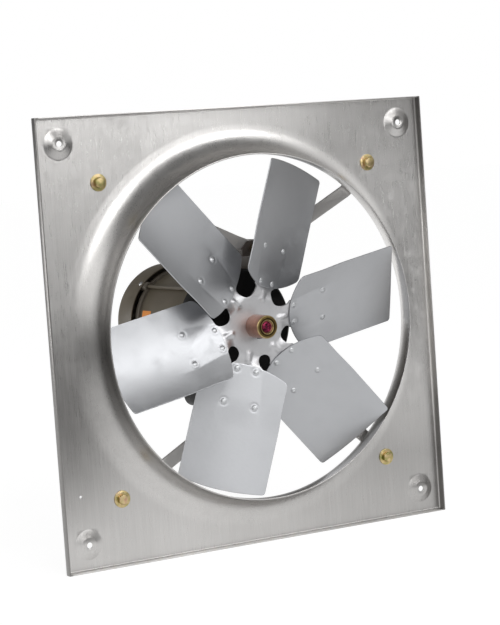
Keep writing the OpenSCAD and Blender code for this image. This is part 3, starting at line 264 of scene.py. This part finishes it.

# %% [markdown]
# ## The panel's steel
# The panel is the widest bare surface, so its finish has more in it: fine rolling lines, broader upright
# streaks, and slow changes of tone. A pressed sheet is never quite flat: it tips a little between the fold
# and the cove, and mirrors more of the dark room in some places than in others. The sheet could be dented
# for that, but a dent of a tenth of a millimetre is hard to place. So that reflection is painted into the
# colour as painted shade and painted sheen, in soft humps over the panel's own u and v, here in metres.
# There is also painted shade in the fold inside the rim and on the upper slope of each corner boss.

# %% Panel steel
where = new_finish("panel_steel")
u, back, v = where.parts()
lines, streaks = noise(where, (1100, 1100, 16), 4.0, 0.6), noise(where, (210, 210, 5), 4.0, 0.65)
slow, hole = noise(where, 3.0, 4.0), WALL_HOLES * MM
across = where.maths("ABSOLUTE", u, 0)
# Painted shade: darker humps low on the left and on the right, in the fold inside the rim, and on the upper
# slope of each corner boss.
painted_shade_lower_left = (0 - u).between(0.19, 0.32) * v.near(-0.11, 0.17) * 0.50
painted_shade_lower_right = u.between(0.02, 0.27) * v.near(-0.30, 0.26) * 0.22
painted_shade_in_fold = across.between(0.3235, 0.3270) * (0 - back).between(0.001, 0.005) * 0.75
painted_shade_on_bosses = (v.near(hole + 0.0126, 0.011) + v.near(0.0126 - hole, 0.011)) * across.near(hole, 0.019)
painted_shade = painted_shade_lower_left + painted_shade_lower_right + painted_shade_in_fold + painted_shade_on_bosses * 0.6
# Painted sheen: lighter humps on the right side and along the top middle.
painted_sheen_right = u.between(0.15, 0.27) * v.near(0.04, 0.27) * 0.72
painted_sheen_top = v.between(0.22, 0.31) * u.near(0.0, 0.18) * 0.25
grain = slow * 0.56 + lines * 0.26 + streaks * 0.15 + 0.01
tone = (grain + painted_sheen_right + painted_sheen_top - painted_shade).clamped()
colour = tone.mixed((0.235, 0.229, 0.223), (0.79, 0.776, 0.76))
roughness = (lines * 0.16 + smudges(where) * 0.07 + 0.21).clamped()
ends_in_shader(where, colour, roughness, lines * 0.9 + streaks * 0.1, 0.18, Metallic=1.0)
print("panel steel made")

# %% [markdown]
# ## Coloured metals
# Yellow zinc is a thin film whose colour wanders between gold, green and pink. The bush is turned from
# copper-coloured stock, and its front ring has an olive film, with a painted highlight along its outer and
# inner edges. The shaft's end is dyed red. A thin film could be worked out from its thickness, but a ramp
# over a noise is easier to set. All three are bare metals whose colour follows a place or a noise, so they
# share one shader.

# %% Yellow zinc
where = new_finish("yellow_zinc")
film = noise(where, 110.0, 3.0) * 0.7 + noise(where, 12.0, 1.0) * 0.3
colour = film.node("ValToRGB", {0: film}, stops=(
    (0.36, (0.27, 0.28, 0.10)), (0.47, (0.44, 0.36, 0.16)), (0.56, (0.60, 0.47, 0.26)),
    (0.66, (0.50, 0.31, 0.21))))
grain = noise(where, 900.0)
ends_in_shader(where, colour, grain * 0.14 + 0.24, grain, 0.12, Metallic=1.0)
print("zinc made")


# %% Bush and shaft end
def round_shaft(where):
    """For turned work: the distance from the shaft's axis, the place along it, and both as one."""
    along = where.parts()[1]
    across = where.node("VectorMath", {0: where, 1: (1, 0, 1)}, operation="MULTIPLY")
    radius = where.node("VectorMath", {0: across}, 1, operation="LENGTH")
    return radius, along, where.node("CombineXYZ", {0: radius, 1: along})


BUSH_FACE, SHAFT_FACE = 0.0570, 0.0550
where = new_finish("bush_copper")
radius, along, turned_place = round_shaft(where)
lines, smears = noise(turned_place, 1500.0, 2.0), noise(where, 160.0, 3.0)
front = (0 - along).between(BUSH_FACE - 0.0004, BUSH_FACE)
sides = smears.mixed((0.42, 0.225, 0.165), (0.27, 0.125, 0.085))
cuts = noise(turned_place, 560.0, 1.0).between(0.44, 0.60)
film = cuts.mixed((0.030, 0.020, 0.008), (0.125, 0.088, 0.032))
# Painted highlights along the front face's outer and inner edges, laid over the olive film.
painted_rim_highlights = (radius.between(0.0158, 0.0163) + radius.near(0.0104, 0.0004)).clamped()
ring = (painted_rim_highlights * (smears * 0.9 + 0.35).clamped()).mixed(film, (0.52, 0.40, 0.20))
ends_in_shader(where, front.mixed(sides, ring), lines * 0.2 + 0.24, lines, 0.35, Metallic=1.0)

where = new_finish("shaft_end")
radius, along, turned_place = round_shaft(where)
lines = noise(turned_place, 1300.0, 2.0)
patches = noise(where, 330.0, 3.0).between(0.36, 0.62)
dye = patches.mixed((0.035, 0.006, 0.014), (0.27, 0.030, 0.075))
colour = (0 - along).between(SHAFT_FACE - 0.0015, SHAFT_FACE).mixed((0.56, 0.55, 0.54), dye)
ends_in_shader(where, colour, lines * 0.15 + 0.22, lines, 0.3, Metallic=1.0)
print("copper and dyed steel made")

# %% [markdown]
# ## Paint, plastic and rubber
# Paint over a casting follows its sand-rough skin, and paint over sheet has the fine ripple of
# orange peel. Dust settles in both as a paler, duller drift. The lumps could be real geometry, but
# at a millimetre or less a bump reads the same and costs nothing. One recipe serves every coating
# and moulding here, with its own lump size, bump and gloss.


# %% Painted and moulded finishes
def coated(slot, colour, dust, rough, lumps, strength, dusty=0.5, clear=0.0, shine=0.5):
    """Lumps are counted to the metre. Dusty is how much of the dust's colour shows."""
    where = new_finish(slot)
    skin, slow = noise(where, lumps, 4.0, 0.6), noise(where, 22.0, 4.0)
    dusted = slow.between(0.45, 0.8) * dusty + skin.between(0.55, 0.8) * 0.15
    tone = dusted.clamped().mixed(colour, dust)
    ends_in_shader(where, tone, (dusted * 0.3 + rough).clamped(), skin, strength,
                   Metallic=0.0, Coat_Weight=clear, Specular_IOR_Level=shine)


coated("motor_paint", (0.142, 0.119, 0.085), (0.22, 0.19, 0.145), 0.40, 500, 0.12)
coated("motor_iron", (0.115, 0.098, 0.075), (0.20, 0.175, 0.14), 0.50, 380, 0.5)
coated("mount_steel", (0.060, 0.047, 0.038), (0.13, 0.11, 0.09), 0.42, 500, 0.15)
coated("black_iron", (0.005, 0.0045, 0.0045), (0.022, 0.020, 0.018), 0.50, 380, 0.5, 0.35,
       shine=0.16)
coated("black_plastic", (0.018, 0.018, 0.019), (0.05, 0.05, 0.05), 0.45, 900, 0.15, 0.3)
coated("black_rubber", (0.016, 0.016, 0.016), (0.05, 0.05, 0.048), 0.65, 600, 0.25)
coated("orange_vinyl", (1.0, 0.34, 0.055), (0.95, 0.45, 0.16), 0.36, 300, 0.06, 0.25)
missing = {m["slot"] for m in frame["record"]["materials"]} - set(FINISHES)
print(len(FINISHES), "finishes; slots without one:", sorted(missing))

# %% [markdown]
# ## Studio
# The photograph's ground is white, so the floor and the room are white to the camera's rays, and
# the floor still takes the fan's soft shadow. Metal needs something darker to mirror, or it has no
# form. Dark cards could be hung round the fan, as a photographer does, but the world's own colour
# can hold them: to other rays the room is grey, with one bright band in front, and mirrors see white
# behind the fan only low down and to the right. The floor darkens far from the fan for every ray but
# the camera's. Three soft lamps stand in front, and a fourth lights the motor from behind.


# %% Room
def rays(start):
    """Wires that are 1 for the camera's rays, mirrored rays, and rays through glass."""
    outputs = start.node("LightPath").socket.node.outputs
    return [Wire(start.tree, outputs[f"Is {kind} Ray"]) for kind in ("Camera", "Glossy", "Transmission")]


world = bpy.data.worlds.new("studio")
bpy.context.scene.world = world
world.use_nodes = True
world.node_tree.nodes.clear()
sky = Wire(world.node_tree)
side, depth, height = sky.node("TexCoord", output="Generated").parts()
before = 1 - depth.between(-0.35, 0.40)
below_top = 1 - height.between(0.56, 0.76)
band = height.between(-0.02, 0.34) * 0.9 + (0 - side).between(-0.45, 0.30) * 0.5
room = band * below_top * before + 0.19
behind = depth.between(0.34, 0.74) * side.between(-0.45, 0.25) * (1 - height.between(0.08, 0.26))

camera_ray, glossy_ray, clear_ray = rays(sky)
seen = (camera_ray + (glossy_ray + clear_ray) * behind).clamped()
shade = room * (1 - seen) + seen
sky.node("OutputWorld", {"Surface": sky.node("Background", {"Color": shade, "Strength": 1.0})})
print("room lit")

# %% Floor
FLOOR_HALF, UNDER_RIM = 30, 0.0004
bm = bmesh.new()
bmesh.ops.create_grid(bm, x_segments=1, y_segments=1, size=FLOOR_HALF)
bmesh.ops.translate(bm, verts=bm.verts, vec=(0, 0, -PANEL_HALF * MM - UNDER_RIM))
mesh = bpy.data.meshes.new("floor")
bm.to_mesh(mesh)
bm.free()
floor = bpy.data.objects.new("floor", mesh)
bpy.context.scene.collection.objects.link(floor)
floor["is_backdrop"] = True
paper = bpy.data.materials.new("paper")
paper.use_nodes = True
paper.node_tree.nodes.clear()
start = Wire(paper.node_tree)
matt = start.node("BsdfDiffuse", {"Color": (0.86, 0.86, 0.86, 1)})
over, depth, height = start.node("TexCoord", output="Object").parts()
far_front, far_right = (0 - depth).between(0.3, 2.2) * 0.8, over.between(0.5, 2.0) * 0.4
far_left = (0 - over).between(0.5, 2.0) * 0.75
camera_ray, glossy_ray, clear_ray = rays(start)
fade = (far_front + far_right + far_left).clamped() * (1 - camera_ray)
lit = start.node("Emission", {"Color": 1 - fade, "Strength": 1.15})
seen = (camera_ray + glossy_ray + clear_ray).clamped()
start.node("OutputMaterial", {"Surface": start.node("MixShader", {0: seen * 0.8, 1: matt, 2: lit})})
mesh.materials.append(paper)
print("floor laid")


# %% Lamps
def soft_lamp(name, place, aim, size, watts):
    """A large square lamp that faces a place on the fan."""
    data = bpy.data.lights.new(name, "AREA")
    data.shape, data.size, data.energy = "SQUARE", size, watts
    lamp = bpy.data.objects.new(name, data)
    bpy.context.scene.collection.objects.link(lamp)
    lamp.location = place
    lamp.rotation_euler = (Vector(aim) - lamp.location).to_track_quat("-Z", "Y").to_euler()


soft_lamp("key", (-0.7, -3.0, 1.8), (0, 0, 0), 1.1, 22)
soft_lamp("side", (1.3, -2.5, 2.1), (0, 0, 0), 1.0, 16)
soft_lamp("front", (1.05, -3.0, 0.50), (0, 0, 0), 0.8, 6)
soft_lamp("back", (-2.2, 2.0, 0.1), (0, 0.1, 0), 1.0, 12)
print("lamps hung")

# %% [markdown]
# ## Finishing a piece
# Each new piece is shaped in a bmesh. Finishing it gives it a sheet's thickness and soft edges,
# bakes those modifiers in, and then marks as sharp only the edges that still turn steeply. Then
# the piece rides on its body and stands for its solid. The modifiers could stay live, but a baked
# mesh is the same in every program that it's later opened in.


# %% Finish a piece
BEVEL_OVER, SHARP_OVER = 40, 38


def finished(bm, name, slot, body, *replaced, wall=0.0, edge=0.0, sharp=SHARP_OVER):
    """Makes the piece: wall is the sheet's thickness, edge the width of its broken edges."""
    mesh = bpy.data.meshes.new(name)
    bm.to_mesh(mesh)
    bm.free()
    piece = bpy.data.objects.new(name, mesh)
    bpy.context.scene.collection.objects.link(piece)
    if wall:
        solid = piece.modifiers.new("wall", "SOLIDIFY")
        solid.thickness, solid.offset, solid.use_even_offset = wall * MM, -1, True
    if edge:
        soft = piece.modifiers.new("edge", "BEVEL")
        soft.width, soft.segments, soft.angle_limit = edge * MM, 2, radians(BEVEL_OVER)
        soft.miter_outer = "MITER_ARC"
    if wall or edge:
        bpy.context.view_layer.update()
        seen_mesh = piece.evaluated_get(bpy.context.evaluated_depsgraph_get())
        piece.data = bpy.data.meshes.new_from_object(seen_mesh)
        piece.data.name = name
        piece.modifiers.clear()
    piece.data.shade_smooth()
    piece.data.set_sharp_from_angle(angle=radians(sharp))
    piece.data.materials.clear()
    piece.data.materials.append(FINISHES[slot])
    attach(piece, body)
    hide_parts(*replaced)
    print(name, len(piece.data.polygons), "faces")


def facing_front(bm):
    """Turns all faces of a sheet the same way, most of them towards the viewer."""
    bmesh.ops.recalc_face_normals(bm, faces=bm.faces)
    if sum(f.normal.y for f in bm.faces) > 0:
        bmesh.ops.reverse_faces(bm, faces=bm.faces)


print("pieces can be finished")

# %% [markdown]
# ## The panel
# The panel is one sheet, drawn and folded, so it's modelled as one skin that gets its thickness at
# the end. Its flat part is a fill between rings: a fill can take any number of round holes, where
# Boolean cuts would leave slivers. The cove and collar, and each raised corner boss, are profiles
# spun about their axes. The rim is the outer ring extruded round a fold. Every ring starts a little
# out on the flat, so that the bend's shading doesn't leak over the flat.


# %% Rings and spins
def ring_edges(bm, centre, radius, count):
    """A circle of edges that faces the viewer, as the fill needs it."""
    made = bmesh.ops.create_circle(bm, segments=count, radius=radius * MM, cap_ends=False)["verts"]
    place = Matrix.Translation(at(*centre, 0)) @ UPRIGHT.to_4x4()
    bmesh.ops.transform(bm, verts=made, matrix=place)
    return [e for v in made for e in v.link_edges]


def spun(bm, profile, centre, count):
    """A profile of (radius, w) spun about an axis along w."""
    first = [bm.verts.new(at(centre[0] + r, centre[1], w)) for r, w in profile]
    line = [bm.edges.new(pair) for pair in zip(first, first[1:])]
    bmesh.ops.spin(bm, geom=first + line, cent=at(*centre, 0), axis=(0, -1, 0), angle=2 * pi,
                   steps=count, use_merge=True)


COVE_EDGE, BOSS_EDGE, BOLT_EDGE, PILOT_EDGE = COVE_CENTRE_R + 1.5, 24.5, 8.0, 3.6
WALL_HOLE_R, BOLT_HOLE_R, PILOT_R, BOSS_H = 4.35, 4.95, 1.9, 4.5
COVE_STEPS, BOSS_STEPS, BOLT_STEPS, PILOT_STEPS = 192, 48, 24, 16
FOLD_R, FLAT_HALF = 1.8, PANEL_HALF - SHEET - 3.5
print("flat between", COVE_EDGE, "and", round(FLAT_HALF, 1), "mm from the axis")

# %% Flat part
bm = bmesh.new()
outer = [bm.verts.new(at(u * FLAT_HALF, v * FLAT_HALF, 0)) for u, v in ((-1, -1), (1, -1), (1, 1), (-1, 1))]
border = [bm.edges.new((outer[i], outer[i - 1])) for i in range(4)]
fill = border + ring_edges(bm, (0, 0), COVE_EDGE, COVE_STEPS)
for x, y in CORNERS:
    fill += ring_edges(bm, (x * WALL_HOLES, y * WALL_HOLES), BOSS_EDGE, BOSS_STEPS)
    fill += ring_edges(bm, (x * BOLT_HOLES, y * BOLT_HOLES), BOLT_EDGE, BOLT_STEPS)
fill += ring_edges(bm, PILOT, PILOT_EDGE, PILOT_STEPS)
bmesh.ops.triangle_fill(bm, use_beauty=True, use_dissolve=False, edges=list(dict.fromkeys(fill)),
                        normal=(0, -1, 0))
print(len(bm.faces), "faces in the flat part")

# %% Cove, collar, bosses and holes
cove = [(COVE_EDGE, 0)] + [
    (COVE_CENTRE_R - COVE_R * sin(radians(a)), COVE_R * (1 - cos(radians(a)))) for a in range(0, 91, 5)]
boss = [(BOSS_EDGE, 0), (23.6, 0), (22.4, 0.14), (21.2, 0.55), (12.4, 3.86), (11.4, 4.3), (10.4, BOSS_H),
        (WALL_HOLE_R, BOSS_H)]
spun(bm, cove + [(THROAT_R + SHEET, COLLAR_H)], (0, 0), COVE_STEPS)
for x, y in CORNERS:
    spun(bm, boss, (x * WALL_HOLES, y * WALL_HOLES), BOSS_STEPS)
    spun(bm, [(BOLT_EDGE, 0), (6.2, 0), (BOLT_HOLE_R, 0)], (x * BOLT_HOLES, y * BOLT_HOLES), BOLT_STEPS)
spun(bm, [(PILOT_EDGE, 0), (2.8, 0), (PILOT_R, 0)], PILOT, PILOT_STEPS)
print(len(bm.faces), "faces with the collar and bosses")

# %% Rim and wall
rim = [(PANEL_HALF - SHEET - FOLD_R * (1 - sin(radians(a))), FOLD_R * (1 - cos(radians(a))))
       for a in range(0, 91, 15)] + [(PANEL_HALF - SHEET, RIM)]
ring, half, height_now = border, FLAT_HALF, 0.0
for next_half, next_w in rim:
    made = bmesh.ops.extrude_edge_only(bm, edges=ring)["geom"]
    corners = [g for g in made if isinstance(g, bmesh.types.BMVert)]
    ring = [g for g in made if isinstance(g, bmesh.types.BMEdge)]
    bmesh.ops.scale(bm, verts=corners, vec=(next_half / half, 1, next_half / half))
    bmesh.ops.translate(bm, verts=corners, vec=at(0, 0, next_w - height_now))
    half, height_now = next_half, next_w
bmesh.ops.remove_doubles(bm, verts=bm.verts, dist=1e-5)
facing_front(bm)
print("open edges before the wall:", sum(e.is_boundary for e in bm.edges))
finished(bm, "panel_sheet", "panel_steel", "housing", "orifice_panel", wall=SHEET, edge=0.45)

# %% [markdown]
# ## The blades
# A blade is a flat blank with round corners, rolled to a cylinder and set at an angle on its arm.
# A few faces under a subdivision surface would pull its corners round, but a fine grid bent to the
# cylinder keeps both the smooth face and the crisp outline. Each row of the grid runs between the
# root's edge and the tip's edge. Over the arm the sheet is flatter than its cylinder, beside the
# arm it folds a little towards the viewer, and a shallow ring is pressed in round each rivet.


# %% Places on an arm
def eased(x):
    """0 below 0, 1 above 1, and smooth from one to the other."""
    x = max(0.0, min(1.0, x))
    return x * x * (3 - 2 * x)


def sheet_place(s, p, q, turn=1.0):
    """A place on an arm's own sheet: s outwards, p across it and q along its normal."""
    a = PITCH * turn
    return at(s, p * cos(a) - q * sin(a), BLADE_FRONT + p * sin(a) + q * cos(a))


def turned_by(k):
    """The turn from the first arm to arm k."""
    return Matrix.Rotation(SIXTH * k, 3, "Y")


TO_FIRST_ARM = Matrix.Rotation(radians(-FIRST_ARM), 3, "Y")
RIVETS = ((67.7, 14.6), (67.7, -14.6), (120.5, 23.7), (120.5, -23.7))
FRONT_P, REAR_P, ROOT_S, TIP_R = 66.0, -67.0, 60.0, 251.5
FRONT_ARC, REAR_ARC = 140.0, 103.0
ROOT_CORNER, TIP_CORNER = 5.0, 4.0
print("a blade runs from", ROOT_S, "to", TIP_R, "mm and is", FRONT_P - REAR_P, "mm wide")


# %% Form of a blade
def corner_drop(p, radius):
    """How far a round corner pulls the outline in at p."""
    over = max(p - (FRONT_P - radius), (REAR_P + radius) - p, 0.0)
    return radius - sqrt(max(radius * radius - over * over, 0.0))


def curve(p):
    """How far the cylinder has risen towards the viewer at p."""
    return BLADE_R - sqrt(BLADE_R ** 2 - p * p)


ARM_REACH, REACH_FADE, PULL_IN = 158, 50, 1.2
FLATTER, FOLD, FOLD_WIDTH = 0.40, 0.065, 60
FOLD_P, FOLD_SPREAD, SPREAD_S, SPREAD_L = 25.5, 7.0, 66, 60
RING_IN, RING_OUT, RING_DEPTH = 4.4, 8.4, 0.28


def over_arm(s):
    """1 where the blade lies on its arm, and 0 past the arm's end."""
    return eased((ARM_REACH - s) / REACH_FADE)


def pressed(s, p):
    """How far the sheet stands off its cylinder, along its normal."""
    half = FOLD_P + FOLD_SPREAD * eased((s - SPREAD_S) / SPREAD_L)
    beside = max(abs(p) - half, 0.0)
    bend = FLATTER * max(curve(half) - curve(p), 0.0) + FOLD * beside * (1 - beside / FOLD_WIDTH)
    rings = sum(eased((r - RING_IN) / 1.2) * eased((RING_OUT - r) / 2.4)
                for r in (sqrt((s - rs) ** 2 + (p - rp) ** 2) for rs, rp in RIVETS))
    return bend * over_arm(s) - RING_DEPTH * rings


print("the fold lifts an edge by", round(pressed(80, FRONT_P), 2), "mm")


# %% Blades
def blade_place(x, y):
    """The place on the first blade for a share x of the way out and y of the way across."""
    p = REAR_P + (FRONT_P - REAR_P) * (0.45 * (0.5 - 0.5 * cos(pi * y)) + 0.55 * y)
    span_y = p * cos(PITCH) - curve(p) * sin(PITCH)
    arc = FRONT_ARC if p > 0 else REAR_ARC
    low = ROOT_S + arc - sqrt(arc ** 2 - p * p) + corner_drop(p, ROOT_CORNER)
    high = sqrt(TIP_R ** 2 - span_y ** 2) - corner_drop(p, TIP_CORNER)
    s = low + (high - low) * x
    up, lean = pressed(s, p), asin(p / BLADE_R)
    p -= PULL_IN * over_arm(s) * max(p, 0.0) / FRONT_P
    return TO_FIRST_ARM @ sheet_place(s, p - up * sin(lean), curve(p) + up * cos(lean))


for k in range(BLADES):
    bm = bmesh.new()
    bmesh.ops.create_grid(bm, x_segments=150, y_segments=110, size=0.5)
    for v in bm.verts:
        v.co = blade_place(v.co.x + 0.5, v.co.y + 0.5)
    bmesh.ops.rotate(bm, verts=bm.verts, matrix=turned_by(k))
    facing_front(bm)
    name = f"blade_{k + 1}"
    finished(bm, name + "_sheet", "blade_steel", "propeller", name, wall=BLADE_T, edge=0.35)

# %% [markdown]
# ## The spider
# The spider is one pressed star: a flat hub, six necks that turn to the blades' angle, and six
# seats rolled to the blades' curve. Filling its outline would leave nothing to bend, so one arm is
# a grid whose rows run across it, from the bush to the arm's round end. Near the hub a row spans a
# sixth of the circle, so that its ends meet the next arm's and merge. Further out its ends follow
# the round of the teardrop holes. A rib stiffens each neck.

# %% Outline of an arm
BORE_R, NECK_S, TWIST_S = 11.2, 39.42, 42
HOLE_AT, HOLE_R = 58.0, 12.5
SEAT_S, SEAT_END_S, SEAT_HALF, SEAT_END_HALF = 69, 122, 23.3, 31.0
ROUND_S, ROUND_L, ROUND_FLAT = 121, 14, 16
RIB_H, RIB_HALF, RIB_S, RIB_FADE = 2.1, 6.5, 36, 7
ARM_ROWS = (BORE_R, 17, 23, 29, 34, 36.5, 38.4, 39.41, 39.6, 40.2, 41, 42, 43.3, 44.8, 46.5, 48.3, 50.2,
            52, 53.8, 55.5, 57, 58.5, 60, 61.2, 62.4, 65, 69, 80, 91, 102, 112, 121, 125, 128.5, 131.2,
            133, 134.2, 134.8, 135)


def arm_half(s):
    """Half the arm's width: a sixth of the circle, then round the hole, then the arm's edge."""
    if s < NECK_S:
        return s * tan(SIXTH / 2)
    widening = max(0.0, min(1.0, (s - SEAT_S) / (SEAT_END_S - SEAT_S)))
    seat = SEAT_HALF + (SEAT_END_HALF - SEAT_HALF) * widening
    if s > ROUND_S:
        round_share = sqrt(max(0.0, 1 - ((s - ROUND_S) / ROUND_L) ** 2))
        seat = ROUND_FLAT + (SEAT_END_HALF - ROUND_FLAT) * round_share
    reach = HOLE_R ** 2 - (s - HOLE_AT * cos(SIXTH / 2)) ** 2
    return min(seat, HOLE_AT * sin(SIXTH / 2) - sqrt(reach)) if reach > 0 else seat


print("an arm's neck is", round(2 * min(arm_half(s) for s in ARM_ROWS if s > NECK_S), 1), "mm across")


# %% Spider
def spider_place(row, share):
    """The place on the first arm for a row, and a share from -1 to 1 of half its width."""
    s = ARM_ROWS[row]
    p = arm_half(s) * share
    turn = eased((s - TWIST_S) / (ROOT_S - TWIST_S))
    r = BLADE_R + BLADE_T + SEAT_GAP
    rib = RIB_H * eased(1 - abs(p) / RIB_HALF) * eased((s - RIB_S) / RIB_FADE)
    rib *= eased((ROOT_S - s) / RIB_FADE)
    if row == 0:
        s, p = BORE_R * cos(SIXTH / 2 * share), BORE_R * sin(SIXTH / 2 * share)
    q = (BLADE_R - sqrt(r * r - p * p)) * turn + (BLADE_R - r) * (1 - turn) + rib
    return TO_FIRST_ARM @ sheet_place(s, p, q, turn)


bm = bmesh.new()
last_row = len(ARM_ROWS) - 1
bmesh.ops.create_grid(bm, x_segments=last_row, y_segments=24, size=0.5)
for v in bm.verts:
    v.co = spider_place(round((v.co.x + 0.5) * last_row), 2 * v.co.y)
one_arm = bm.verts[:] + bm.edges[:] + bm.faces[:]
for k in range(1, BLADES):
    copied = bmesh.ops.duplicate(bm, geom=one_arm)["geom"]
    corners = [g for g in copied if isinstance(g, bmesh.types.BMVert)]
    bmesh.ops.rotate(bm, verts=corners, matrix=turned_by(k))
bmesh.ops.remove_doubles(bm, verts=bm.verts, dist=2e-5)
facing_front(bm)
finished(bm, "spider", "spider_steel", "propeller", "hub_spider", wall=SPIDER_T, edge=0.5, sharp=40)

# %% [markdown]
# ## The bracket bolts
# A bought bolt isn't a bare hexagon: its top is turned down to a low cone, and a thin round face
# under the head bears on the washer. Cutting a cone off the hexagon would need a Boolean. Short
# turned lengths, with a bevel round the hexagon's top, look the same and stay clean.

# %% Bracket bolts
ACROSS_FLATS, HEAD_H, BOLT_D, BOLT_L, WASHER_T = 14.3, 6.0, 9.5, 20.0, 1.6
CROWN, FACE_T, HEX_FROM, POINT, POINT_L = 1.0, 0.6, 0.5, 0.7, 1.0


def turned_length(bm, low, high, low_r, high_r, segments=32):
    """A cylinder or cone about Z, from low to high."""
    made = bmesh.ops.create_cone(bm, cap_ends=True, segments=segments, radius1=low_r * MM,
                                 radius2=high_r * MM, depth=(high - low) * MM)["verts"]
    bmesh.ops.translate(bm, verts=made, vec=(0, 0, (low + high) / 2 * MM))
    return made


def hex_bolt(bm, place):
    """A bolt along w whose head stands on the place."""
    corner_r, shank_r = ACROSS_FLATS / sqrt(3), BOLT_D / 2
    head = turned_length(bm, HEX_FROM, HEAD_H, corner_r, corner_r, 6)
    top = max(v.co.z for v in head)
    edges = dict.fromkeys(e for v in head for e in v.link_edges)
    crown = [e for e in edges if all(abs(v.co.z - top) < 1e-7 for v in e.verts)]
    made = bmesh.ops.bevel(bm, geom=crown, offset=CROWN * MM, offset_type="OFFSET", affect="EDGES",
                           segments=1, profile=0.5, material=-1)["verts"]
    every = [v for v in dict.fromkeys(head + made) if v.is_valid]
    every += turned_length(bm, 0, FACE_T, ACROSS_FLATS / 2, ACROSS_FLATS / 2, 40)
    every += turned_length(bm, -BOLT_L, POINT_L - BOLT_L, shank_r - POINT, shank_r)
    every += turned_length(bm, POINT_L - BOLT_L, 0, shank_r, shank_r)
    bmesh.ops.transform(bm, verts=every, matrix=Matrix.Translation(at(*place)) @ UPRIGHT.to_4x4())


bm = bmesh.new()
for x, y in CORNERS:
    hex_bolt(bm, (x * BOLT_HOLES, y * BOLT_HOLES, WASHER_T))
finished(bm, "bracket_bolts", "yellow_zinc", "housing", "panel_bolts", edge=0.25)

# %% [markdown]
# ## The rest of what shows
# The straps, motor castings and fasteners already have their true form as solids. Modelling them
# again would only risk a wrong size. They need their machined edges broken and a smooth shade on
# their curves, so their own meshes are copied, merged, bevelled and put in their place.


# %% Dressed solids
def dressed(name, edge, slot, body):
    """A solid's own shape, made one skin again, with its sharp edges broken."""
    bm = bmesh.new()
    bm.from_mesh(nodes[name].data)
    bmesh.ops.remove_doubles(bm, verts=bm.verts, dist=2e-6)
    bmesh.ops.dissolve_limit(bm, angle_limit=radians(0.8), verts=bm.verts, edges=bm.edges)
    steep = [e for e in bm.edges if e.is_manifold and e.calc_face_angle(0) > radians(SHARP_OVER)]
    bmesh.ops.bevel(bm, geom=steep, offset=edge * MM, offset_type="OFFSET", affect="EDGES", segments=2,
                    profile=0.5, material=-1, clamp_overlap=True)
    finished(bm, name + "_finished", slot, body, name)


DRESSED = {
    "strap_upper_left": 0.6, "strap_upper_right": 0.6, "strap_lower_left": 0.6, "strap_lower_right": 0.6,
    "panel_washers": 0.25, "panel_nuts": 0.4, "motor_mount_plate": 0.6, "mount_bolts": 0.35,
    "mount_nuts": 0.4, "motor_base": 0.5, "base_bolts": 0.35, "base_nuts": 0.4, "motor_shell": 0.3,
    "front_end_bell": 1.0, "rear_end_bell": 0.8, "tie_rods": 0.3, "conduit_box": 0.8, "conduit_cover": 0.8,
    "conduit_cover_screws": 0.2, "fan_shroud": 0.3, "shroud_screws": 0.2, "nameplate": 0.1,
    "motor_shaft": 0.3, "shaft_slinger": 0.4, "hub_bush": 0.25, "hub_set_screws": 0.3, "blade_rivets": 0.1,
}
slots = {row["node"]: row["material_slot"] for row in frame["record"]["subparts"]}
bodies = {n: body for body, names in frame["record"]["behaviour"]["bodies"].items() for n in names}
for name, edge in DRESSED.items():
    dressed(name, edge, slots[name], bodies[name])

# %% [markdown]
# ## What stays as it is
# The pieces inside the motor, and the sticker, keep their solids. New meshes would add weight to
# what is hidden or flat. Each piece still gets its own finish, so it's right when it's taken apart.

# %% Finishes of the kept solids
kept = [n for n, solid in nodes.items() if not solid.hide_render]
for name in kept:
    nodes[name].data.materials.clear()
    nodes[name].data.materials.append(FINISHES[slots[name]])
print(len(kept), "solids keep their mesh")

# %% [markdown]
# ## Sizes
# The dressed fan must fill the same box as the solids, so both boxes are printed. A box could be read off by
# eye in the side panel, but printed, the two can be set side by side.

# %% Write the boxes and finish
dressed_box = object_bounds()
for name, box in (("solid", solid_box), ("dressed", dressed_box)):
    print(name, [[round(x * 1000, 1) for x in c] for c in box])
